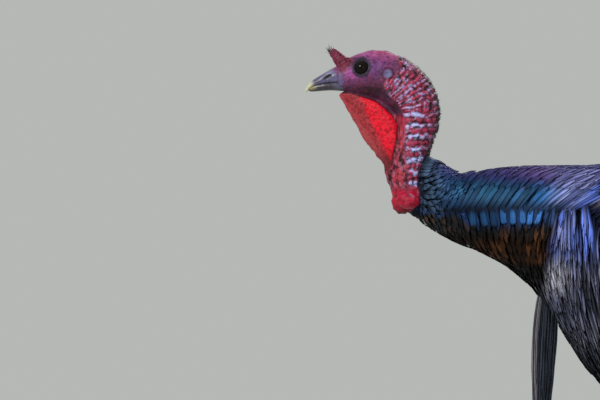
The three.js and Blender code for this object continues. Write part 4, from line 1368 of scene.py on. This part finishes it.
def quill_material(name, dark, pale, bars, sweep, end_band=None, **sockets):
    """Long stiff feathers crossed by bars, with a shaft down the middle and perhaps a black and buff end."""
    material, tree, shader = new_material(name, **sockets)
    barbs = add_node(tree, "Group", {"node_tree": BARBS}, Tip_Colour=(*dark, 1), Tip_Start=1.2, Rim=0.35,
                     Streak=0.35, Barb=1.4)
    barb_at = attribute(tree, "barb", "Vector")
    barb = add_node(tree, "SeparateXYZ", Vector=barb_at).outputs
    vane = add_node(tree, "SeparateXYZ", Vector=attribute(tree, "vane", "Vector")).outputs
    wave = add_node(tree, "TexNoise", Vector=barb_at, Scale=0.16, Detail=2.0).outputs["Fac"]
    bent = calc(tree, "MULTIPLY_ADD", barb["Y"], sweep, barb["X"])
    bent = calc(tree, "MULTIPLY_ADD", wave, 7.0, bent)
    turned = calc(tree, "SINE", calc(tree, "MULTIPLY", bent, 2 * math.pi / bars))
    painted = mixed(tree, soft_step(tree, turned, 0.0, 0.45), (*dark, 1), (*pale, 1))
    if end_band:
        along = calc(tree, "MULTIPLY_ADD", wave, 0.03, vane["Y"])
        for start, tint in ((0.835, dark), (0.965, end_band)):
            painted = mixed(tree, soft_step(tree, along, start, start + 0.012), painted, (*tint, 1))
    painted = mixed(tree, 1.0, painted, attribute(tree, "tint"), "MULTIPLY")
    link(tree, barbs, Colour=painted)
    shaft = add_node(tree, "MapRange", Value=calc(tree, "ABSOLUTE", vane["X"]), From_Min=0.02, From_Max=0.06,
                     To_Min=1.0, To_Max=0.0).outputs[0]
    shaft = calc(tree, "MULTIPLY", shaft, 0.8)
    finished = mixed(tree, shaft, barbs.outputs["Colour"], (0.12, 0.07, 0.04, 1))
    surfaced(tree, shader, barbs.outputs, finished, 0.5, 0.0005)
    return material


WING_QUILL = quill_material("wing_quill", (0.03, 0.022, 0.018), (0.42, 0.38, 0.33), 11.0, 0.35,
                            Specular_IOR_Level=0.3)


def quill_tint(spread):
    """A grey for each quill, the same all over it."""
    return lambda batch: np.tile((1 - spread + 2 * spread * batch["vane"][:, 2])[:, None] * 0.8, (1, 3))


for side, sign in SIDES.items():
    batches = []
    for index in range(WING_QUILLS):
        share = index / (WING_QUILLS - 1)
        height = np.interp(share, [0, 1], [338, 506])
        root = side_grid(-26 + 22 * share, height, height + 5, 10, 0)[:1] * [1, -sign, 1]
        length = np.interp(share, [0, 0.5, 1], [220, 205, 150])
        batches.append(lay_vanes(root, lie_of_wing, length, 36, across=9, along=20, sink=2.2 - 0.6 * share,
                                 lift=0.8 + 0.5 * share, camber=0.06, rounding=0.06, ragged=0.03, waist=0.6,
                                 tip=0.3, blunt=2.2, roll=0, tilt=-sign * 0.035, strands=False, stray=0.6,
                                 seed=950 + index))
    tract(f"wing_quills_{side}", batches, quill_tint(0.25), WING_QUILL)

# --------------------------------------------------------------------------------------------- tail
# Eighteen long tail feathers lie folded in one stack, the middle pair on top: chestnut crossed by wavy black
# bars, a broad black band before the end and a pale buff tip.
TAIL_PAIRS, TAIL_FROM = 9, 196
TAIL_QUILL = quill_material("tail_quill", (0.016, 0.011, 0.008), (0.19, 0.078, 0.032), 8.0, 0.1,
                            end_band=(0.42, 0.27, 0.15), Specular_IOR_Level=0.25)


def tail_track(pair, sign):
    """The line of one tail feather, a little lower and further out than those of the pairs above it."""
    def track(steps):
        part = np.linspace(0, 1, steps)
        x = TAIL_FROM + (497 - 7.0 * pair * 0.8 - TAIL_FROM) * part
        high = np.interp(x, [TAIL_FROM, 258, 418, 498], [447, 424, 371.0, 344.6])
        thin = np.interp(x, [TAIL_FROM, 258, 418, 498], [2.6, 2.2, 1.75, 0.9])
        y = sign * (3.0 + 3.1 * pair) * (0.35 + 0.65 * ramp(part, 0, 0.7))
        path = np.stack([x, y, high - thin * pair - (0.3 if sign > 0 else 0)], axis=1)[None]
        upward = np.tile(unit(np.array([0.3, 0.0, 0.95])), (1, steps, 1))
        return path, upward, np.tile([0.0, -1.0, 0.0], (1, steps, 1))
    return track


batches = [lay_vanes(np.array([[205.0, sign * 12.0, 430.0]]), None, 290, 62, across=13, along=30, sink=0,
                     lift=0, camber=0.02 + 0.006 * pair, rounding=0.045, ragged=0.015, waist=0.55, tip=0.62,
                     blunt=2.5, roll=0, strands=False, tracks=tail_track(pair, sign),
                     seed=1000 + pair * 2 + (sign > 0))
           for pair in reversed(range(TAIL_PAIRS)) for sign in (-1, 1)]
tract("tail_feathers", batches, quill_tint(0.12), TAIL_QUILL)

# --------------------------------------------------------------------------------------------- bill
# The bill is horn over bone: a short hooked upper half with an oval nostril under its lilac flap, closed over
# the lower half. It is slate-lilac at the base, paler along the ridge and ivory at the tip.
CRUMB = 50


def drop_crumbs(mesh):
    """Deletes the loose specks that a remesh leaves beside thin tips."""
    fix = bmesh.new()
    fix.from_mesh(mesh)
    waiting, crumbs = set(fix.verts), []
    for vert in fix.verts:
        if vert not in waiting:
            continue
        waiting.discard(vert)
        island = [vert]
        for here in island:
            others = [edge.other_vert(here) for edge in here.link_edges]
            island += [other for other in others if other in waiting]
            waiting.difference_update(others)
        crumbs += island if len(island) < CRUMB else []
    bmesh.ops.delete(fix, geom=crumbs, context="VERTS")
    fix.to_mesh(mesh)
    fix.free()


def horn_surface(name, nodes, voxel, smoothing, swell=0.12):
    horn = cast(name, solids_joined(nodes, swell), voxel, smoothing)
    drop_crumbs(horn.data)
    horn.data.materials.clear()
    shade_smooth(horn.data)
    return horn


def horn_group():
    """Horn: fine growth lines along it, small scratches and worn spots, a roughness and a height."""
    tree, given, put = new_group("horn_grain", Colour=None, Worn_Colour=None, Wear=0.3, Lines=900.0)
    place = add_node(tree, "TexCoord").outputs["Object"]
    stretched = add_node(tree, "VectorMath", {"operation": "MULTIPLY"}, i0=place, i1=(0.25, 1.0, 1.0))
    lines = add_node(tree, "TexNoise", Vector=stretched.outputs[0], Scale=given["Lines"],
                     Detail=3.0).outputs["Fac"]
    spots = add_node(tree, "TexNoise", Vector=place, Scale=320.0, Detail=4.0, Roughness=0.65).outputs["Fac"]
    worn = soft_step(tree, spots, 0.5, 0.72)
    aged = mixed(tree, calc(tree, "MULTIPLY", worn, given["Wear"]), given["Colour"], given["Worn Colour"])
    link(tree, put, Colour=darkened(tree, aged, calc(tree, "MULTIPLY_ADD", lines, 0.7, 0.65)),
         Roughness=calc(tree, "MULTIPLY_ADD", worn, 0.25, 0.26), Height=lines)
    return tree


HORN_GRAIN = horn_group()


def horn_material(name, worn_colour, wear, lines, bump, **sockets):
    material, tree, shader = new_material(name, **sockets)
    grain = add_node(tree, "Group", {"node_tree": HORN_GRAIN}, Colour=attribute(tree, "tint"),
                     Worn_Colour=(*worn_colour, 1), Wear=wear, Lines=lines).outputs
    surfaced(tree, shader, grain, grain["Colour"], bump, 0.0003)
    return material


BILL_HORN = horn_material("bill_horn", (0.22, 0.2, 0.24), 0.25, 900.0, 0.35, Specular_IOR_Level=0.3,
                          Coat_Weight=0.06, Coat_Roughness=0.25)


def slanted_oval(x, z, centre, long, wide):
    """1 at the centre of an oval that slants along the bill, fading to 0 past its rim."""
    x, z = x - centre[0], z - centre[1]
    return np.exp(-((x * 0.86 + z * 0.5) / long) ** 2 - ((z * 0.86 - x * 0.5) / wide) ** 2)


def bill_half(name, node, upper):
    horn = horn_surface(name, [node], 0.45, 4)
    points, normals = points_of(horn.data), normals_of(horn.data)
    x, y, z = points.T
    side = np.abs(y)
    if upper:
        nostril = slanted_oval(x, z, (-474.5, 638.0), 4.4, 1.7) * ramp(side, 1.0, 2.5)
        flap = slanted_oval(x, z, (-473.5, 640.8), 5.5, 1.9) * ramp(side, 0.8, 2.0)
        edge = blot(x, z, (-478, 630.6), (14, 0.9)) * ramp(side, 2, 3)
        ridge = ramp(normals[:, 2], 0.55, 0.9) * (1 - ramp(side, 1.0, 3.2))
        points = points + normals * (0.8 * flap - 1.7 * nostril + 0.35 * edge)[:, None]
        corner = x + 458 + 0.667 * (z - 630) + lumps(points, 2.5, 132)
        colour = blend((0.09, 0.088, 0.175),
                       ((0.17, 0.16, 0.29), ramp(lumps(points, 6, 131), 0, 1)),
                       ((0.42, 0.38, 0.3), 0.8 * ridge * ramp(-x, 472, 482)),
                       ((0.17, 0.15, 0.06), 0.8 * blot(x, z, (-487, 626), (7, 3.0))),
                       ((0.56, 0.56, 0.38), ramp(-x - 0.35 * (z - 626), 484.5, 490.5)),
                       ((0.09, 0.07, 0.09), 0.7 * blot(x, z, (-485, 634), (3.0, 2.2))),
                       ((0.23, 0.19, 0.33), 0.7 * flap),
                       ((0.024, 0.018, 0.024), 0.75 * blot(x, z, (-474, 629.3), (14, 1.6))),
                       # The nostril is only a dent, painted near-black as the shade inside its opening.
                       ((0.004, 0.003, 0.004), ramp(nostril, 0.18, 0.45)),
                       ((0.14, 0.13, 0.24), 0.7 * blot(x, z, (-466, 636), (5, 6))),
                       ((0.17, 0.04, 0.14), ramp(corner, -2.5, 1)))
    else:
        colour = blend((0.04, 0.033, 0.045),
                       ((0.08, 0.07, 0.095), ramp(lumps(points, 6, 131), 0, 1)),
                       ((0.24, 0.22, 0.11), ramp(-x, 483, 491)),
                       ((0.1, 0.095, 0.17), 0.7 * ramp(x, -472, -464)),
                       ((0.014, 0.01, 0.013), 0.8 * ramp(-z, -627, -623.5)))
    place_points(horn.data, points)
    add_colours(horn.data, colour)
    horn.data.materials.append(BILL_HORN)
    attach(horn, "root")
    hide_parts(node)


bill_half("bill_upper_horn", "bill_upper", True)
bill_half("bill_lower_horn", "bill_lower", False)

# -------------------------------------------------------------------------- claws, spurs and scutes
# Claws and spurs are dark horn with paler, worn tips. Shank and toes are clad in overlapping horny scutes,
# large across the front of the shank and the tops of the toes.
SPUR_SEAT, ABOVE_TOES = 1.0, 30
CLAW_HORN = horn_material("claw_horn", (0.14, 0.11, 0.09), 0.4, 700.0, 0.5, Specular_IOR_Level=0.4)
for side in SIDES:
    nodes = [f"claw_{toe}_{side}" for toe in TOES] + [f"spur_{side}"]
    claws = horn_surface(f"claws_{side}_horn", nodes, 0.7, 2, 0.1)
    points = points_of(claws.data)
    points[points[:, 2] > ABOVE_TOES, 0] -= SPUR_SEAT
    place_points(claws.data, points)
    add_colours(claws.data, blend((0.03, 0.022, 0.02), ((0.09, 0.07, 0.055), 0.5 + lumps(points, 4, 141))))
    claws.data.materials.append(CLAW_HORN)
    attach(claws, "root")
    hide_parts(*nodes)

HORNY = {"camber": 0.0, "ragged": 0.0, "roll": 0.0, "waist": 0.9, "blunt": 2.0, "strands": False}
SHANK_TOP, SHANK_FOOT, FOOT_MIDDLE = (-8.0, 61.5, 158), (-41.0, 60.0, 20), (-40.0, 60.0, 12)
SHANK_FRONT = np.array([-0.976, 0, 0.216])


def scute_row(start, end, outward, spacing, length, width, seed):
    """One row of scutes down a shank or along a toe, each lapping over the next."""
    count = int(np.linalg.norm(end - start) / spacing)
    part = (np.arange(count) + 0.5) / count
    roots = skin_ground.settle(start + (end - start) * part[:, None] + outward)[0]
    return lay_vanes(roots, one_way(unit(end - start)), length, width, along=6, sink=0.5, lift=0.3,
                     rounding=0.22, tip=0.72, stray=2, ground=skin_ground, seed=seed, **HORNY)


def small_scales(part_of_leg, apart, size, seed):
    """Small round scales scattered over a part of the legs, pointing down and forward."""
    roots = spaced(skin_map_points[part_of_leg], apart, seed)
    return lay_vanes(roots, one_way(unit(np.array([-0.35, 0, -0.94]))), size, 0.85 * size, across=5, along=5,
                     sink=0.35, lift=0.22, rounding=0.3, tip=0.6, stray=4, ground=skin_ground, seed=seed,
                     **HORNY)


z = skin_map_points[:, 2]
scute_batches = [small_scales((z > 152) & (z < 178), 3.0, 5.0, 1180),
                 small_scales((z > 3) & (z < 19), 3.6, 5.2, 1181)]
for side, sign in SIDES.items():
    hock, foot, middle = (np.array(place) * [1, sign, 1] for place in (SHANK_TOP, SHANK_FOOT, FOOT_MIDDLE))
    for index, degrees in enumerate([-30, 30, -85, 85, 180]):
        turn = math.radians(degrees)
        outward = 9 * (math.cos(turn) * SHANK_FRONT + math.sin(turn) * np.array([0, 1.0, 0]))
        size = 1.0 if abs(degrees) == 30 else 0.72
        shift = np.array([0, 0, 2.6 * (index % 2)])
        scute_batches.append(scute_row(hock + shift, foot + shift, outward, 5.4 * size, 8.6 * size,
                                       9.5 * size, 1200 + index))
    for index, toe in enumerate(TOES):
        low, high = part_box(f"claw_{toe}_{side}")
        claw = np.array([(low[0] + high[0]) / 2, (low[1] + high[1]) / 2, 0.012]) / MM
        reach = claw - middle
        end = middle + reach * (1 - 8 / np.linalg.norm(reach))
        scute_batches.append(scute_row(middle + reach * 0.14, end, np.array([0, 0, 9.0]), 4.4, 7.2, 8.4,
                                       1220 + index))
scute_coat = gathered(scute_batches)
scute_coat["points"][:, 2] = np.maximum(scute_coat["points"][:, 2], 0)
v, own = scute_coat["vane"][:, 1], scute_coat["vane"][:, 2]
scute_colour = blend((0.3, 0.13, 0.115), ((0.21, 0.13, 0.115), own))
scute_colour *= (0.35 + 0.65 * ramp(v, 0.25, 0.6) * (1 - 0.5 * ramp(v, 0.86, 1.0)))[:, None]
SCUTE_HORN = horn_material("scute_horn", (0.34, 0.22, 0.19), 0.3, 600.0, 0.4, Specular_IOR_Level=0.3)
feather_object("leg_scutes", scute_coat, scute_colour, SCUTE_HORN)

# -------------------------------------------------------------------------------------------- beard
# The beard is a tuft of coarse, wavy bristles that hangs from the breast, widest near its top and ragged at
# its tip. It is blue-black, with grey strands down its front.
BEARD_STRANDS, BEARD_STEPS, BRISTLE_SIDES = 280, 16, 3
BEARD_HEIGHTS = [436, 415, 388, 360, 335, 315, 280, 250, 217]
BEARD_MIDDLES = [-253, -256, -256.5, -258.5, -259, -260, -261.5, -263, -264.5]
BEARD_HALVES = [7, 10, 12.5, 13, 11, 8.8, 7.2, 6.0, 4.2]


def tubes(paths, radii, sides=BRISTLE_SIDES):
    """Closed thin tubes along paths of points, tapering to their tips; each row of paths is one tube."""
    count, steps = paths.shape[:2]
    ahead = unit(np.gradient(paths, axis=1))
    aside = unit(np.cross(ahead, [0.31, 0.9, 0.2]))
    above = np.cross(ahead, aside)
    turns = np.arange(sides) / sides * 2 * math.pi
    ring = np.cos(turns)[:, None] * aside[:, :, None, :] + np.sin(turns)[:, None] * above[:, :, None, :]
    points = paths[:, :, None, :] + ring * radii[:, :, None, None]
    quads, caps = [], []
    for step in range(steps - 1):
        for turn in range(sides):
            here, after = step * sides + turn, step * sides + (turn + 1) % sides
            quads.append((here, after, after + sides, here + sides))
    for turn in range(1, sides - 1):
        caps.append((0, turn + 1, turn))
        last = (steps - 1) * sides
        caps.append((last, last + turn, last + turn + 1))
    start = np.arange(count)[:, None, None] * steps * sides
    quads = (np.array(quads)[None] + start).reshape(-1, 4)
    caps = (np.array(caps)[None] + start).reshape(-1, 3)
    return points.reshape(-1, 3), quads, caps


chance = np.random.default_rng(77)
across = chance.uniform(-1, 1, BEARD_STRANDS)
deep = chance.uniform(-1, 1, BEARD_STRANDS) * np.sqrt(1 - 0.6 * across ** 2)
ends = chance.uniform(0.62, 1.0, BEARD_STRANDS) ** 0.6
along = np.linspace(0, 1, BEARD_STEPS)
part = along[None, :] * ends[:, None]
heights = BEARD_HEIGHTS[0] + (BEARD_HEIGHTS[-1] - BEARD_HEIGHTS[0]) * part
middles = np.polyval(np.polyfit(BEARD_HEIGHTS, BEARD_MIDDLES, 3), heights)
halves = np.polyval(np.polyfit(BEARD_HEIGHTS, BEARD_HALVES, 4), heights)
wave = 1.2 * np.sin(part * 16 + chance.uniform(0, 6.3, (BEARD_STRANDS, 1))) * part
beard_paths = np.stack([middles + across[:, None] * (halves - 0.6) + wave,
                        deep[:, None] * halves * 0.62 + wave[::-1], heights], axis=2)
thickness = (0.62 - 0.38 * part) * chance.uniform(0.8, 1.15, (BEARD_STRANDS, 1))
points, quads, caps = tubes(beard_paths, thickness)
own = chance.uniform(0, 1, BEARD_STRANDS)
home = np.repeat(np.arange(BEARD_STRANDS), BEARD_STEPS * BRISTLE_SIDES)
grey = ramp(-across, 0.35, 0.95)[home] * ramp(own, 0.1, 0.6)[home]
beard_colour = blend((0.016, 0.022, 0.036), ((0.05, 0.058, 0.09), ramp(own, 0.55, 1)[home]),
                     ((0.28, 0.26, 0.29), 0.85 * grey))
v = np.tile(np.repeat(along, BRISTLE_SIDES), BEARD_STRANDS)
vane = np.stack([np.zeros(len(v)), 0.6 + 0.3 * v, own[home]], axis=1)
barb = np.stack([np.tile([0.0, 0.4, 0.8], BEARD_STEPS * BEARD_STRANDS), v * 200, own[home] * BARB_SPREAD],
                axis=1)
BEARD_HAIR = feather_material("beard_hair", (0.02, 0.02, 0.03), 2.0, 0.0, 0.5, 0.3, Specular_IOR_Level=0.35)
beard_batch = {"points": points, "quads": quads, "caps": caps, "vane": vane, "barb": barb,
               "root": beard_paths[:, 0][home]}
beard = feather_object("beard_bristles", beard_batch, beard_colour, BEARD_HAIR)
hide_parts("beard")

# ----------------------------------------------------------------------------- bristles of the head
# Short black hair-like feathers stand scattered over crown and nape, thickest down the back edge of the nape,
# and a tuft of stiff grey ones crowns the end of the snood. Each is a tapered bristle rooted in the skin.
BRISTLE_STEPS, TUFT_COUNT = 5, 46
TUFT_MIDDLE = [-471.5, 0, 664.5]


def bristle_batch(roots, ahead, lengths, thick, curl, seed):
    """Bristles from their roots, bending away a little, as arrays like those of a feather tract."""
    chance = np.random.default_rng(seed)
    part = np.linspace(0, 1, BRISTLE_STEPS)
    bend = unit(chance.normal(0, 1, roots.shape) + [1.2, 0, -1.2])
    paths = roots[:, None] - ahead[:, None] * 0.8 + ahead[:, None] * (lengths[:, None] * part)[..., None]
    paths = paths + bend[:, None] * (curl * lengths[:, None] * part ** 2)[..., None]
    points, quads, caps = tubes(paths, np.tile(thick * (1 - 0.8 * part), (len(roots), 1)))
    home = np.repeat(np.arange(len(roots)), BRISTLE_SIDES * BRISTLE_STEPS)
    v = np.tile(np.repeat(part, BRISTLE_SIDES), len(roots))
    return {"points": points, "quads": quads, "caps": caps, "root": roots[home],
            "vane": np.stack([0 * v, 0.65 + 0.2 * v, chance.uniform(0, 1, len(roots))[home]], axis=1),
            "barb": np.stack([0 * v, v * 20, chance.uniform(0, 90, len(roots))[home]], axis=1)}


x, _, z = skin_map_points.T
head_zones = HeadZones(skin_map_points)
rear = np.interp(z, [556, 576, 590, 606, 620, 635, 648, 660],
                 [-376, -366, -362, -361, -364, -371, -381, -395])
chance = np.random.default_rng(41)
on_nape = chance.uniform(0, 1, len(x)) < head_zones.nape * (0.04 + 0.5 * ramp(x - rear, -20, -3))
on_crown = (head_zones.face > 0.6) & (z > 651) & (x > -446) & (chance.uniform(0, 1, len(x)) < 0.012)
picked = spaced(skin_map_points[(on_nape & (z > 548)) | on_crown], 2.3, 42)
spots, normals, _ = skin_ground.settle(picked)
trail = np.array([0.55, 0.0, -0.45])
trail = unit(trail - (normals @ trail)[:, None] * normals)
bristles = bristle_batch(spots, unit(normals * 0.75 + trail * 0.7), chance.uniform(1.7, 2.9, len(spots)),
                         0.22, 0.35, 43)
spots = skin_ground.settle(chance.normal(0, 1, (TUFT_COUNT, 3)) * 1.6 + TUFT_MIDDLE)[0]
lean = unit(np.array([-0.42, 0.0, 0.9]) + chance.normal(0, 0.33, (TUFT_COUNT, 3)))
tuft = bristle_batch(spots, lean, chance.uniform(3.5, 7.5, TUFT_COUNT), 0.2, 0.12, 44)
tuft_colour = blend((0.012, 0.01, 0.014), ((0.42, 0.38, 0.4), ramp(tuft["vane"][:, 2], 0.45, 0.6)))
bristle_coat = gathered([bristles, tuft])
bristle_colour = np.concatenate([np.tile([0.006, 0.005, 0.008], (len(bristles["points"]), 1)), tuft_colour])
feather_object("head_bristles", bristle_coat, bristle_colour, BEARD_HAIR)

# ------------------------------------------------------------------------------- light, floor, view
# The bird stands on a plain pale floor under soft studio light: a warm key lamp, a cooler fill and a back
# light. The view is from its left side, level with the lower neck.
FLOOR = 3000
bpy.data.objects.remove(plumage_form)
corners = [(x, y, 0) for x, y in ((-FLOOR, -FLOOR), (FLOOR, -FLOOR), (FLOOR, FLOOR), (-FLOOR, FLOOR))]
floor = new_object("floor", mesh_from("floor", corners, [(0, 1, 2, 3)]))
floor_material = new_material("pale_floor", Roughness=0.75, Base_Color=(0.52, 0.52, 0.5, 1))[0]
floor.data.materials.append(floor_material)


def soft_light(name, place, aim, size, power, colour):
    lamp = bpy.data.lights.new(name, "AREA")
    lamp.shape = "DISK"
    lamp.size = size
    lamp.energy = power
    lamp.color = colour
    light = bpy.data.objects.new(name, lamp)
    light.location = place
    light.rotation_euler = (Vector(aim) - Vector(place)).to_track_quat("-Z", "Y").to_euler()
    bpy.context.scene.collection.objects.link(light)


soft_light("key", (-2.2, -2.6, 2.4), (-0.3, 0, 0.5), 1.2, 92, (1.0, 0.97, 0.93))
soft_light("fill", (0.9, -3.4, 1.2), (-0.2, 0, 0.4), 2.0, 12, (0.93, 0.96, 1.0))
soft_light("back", (1.2, 2.6, 2.4), (-0.2, 0, 0.5), 1.6, 50, (0.95, 0.97, 1.0))
world = bpy.data.worlds.new("studio")
bpy.context.scene.world = world
world.use_nodes = True
world.node_tree.nodes["Background"].inputs["Color"].default_value = (0.8, 0.83, 0.8, 1)
world.node_tree.nodes["Background"].inputs["Strength"].default_value = 0.58
bpy.context.scene.view_settings.view_transform = "Standard"

lens = bpy.data.cameras.new("view")
lens.sensor_width = 36
lens.lens = 360
lens.clip_end = 50
view = bpy.data.objects.new("view", lens)
view.location = (-0.502, -6.0, 0.515)
view.rotation_euler = (math.pi / 2, 0, 0)
bpy.context.scene.collection.objects.link(view)
bpy.context.scene.camera = view
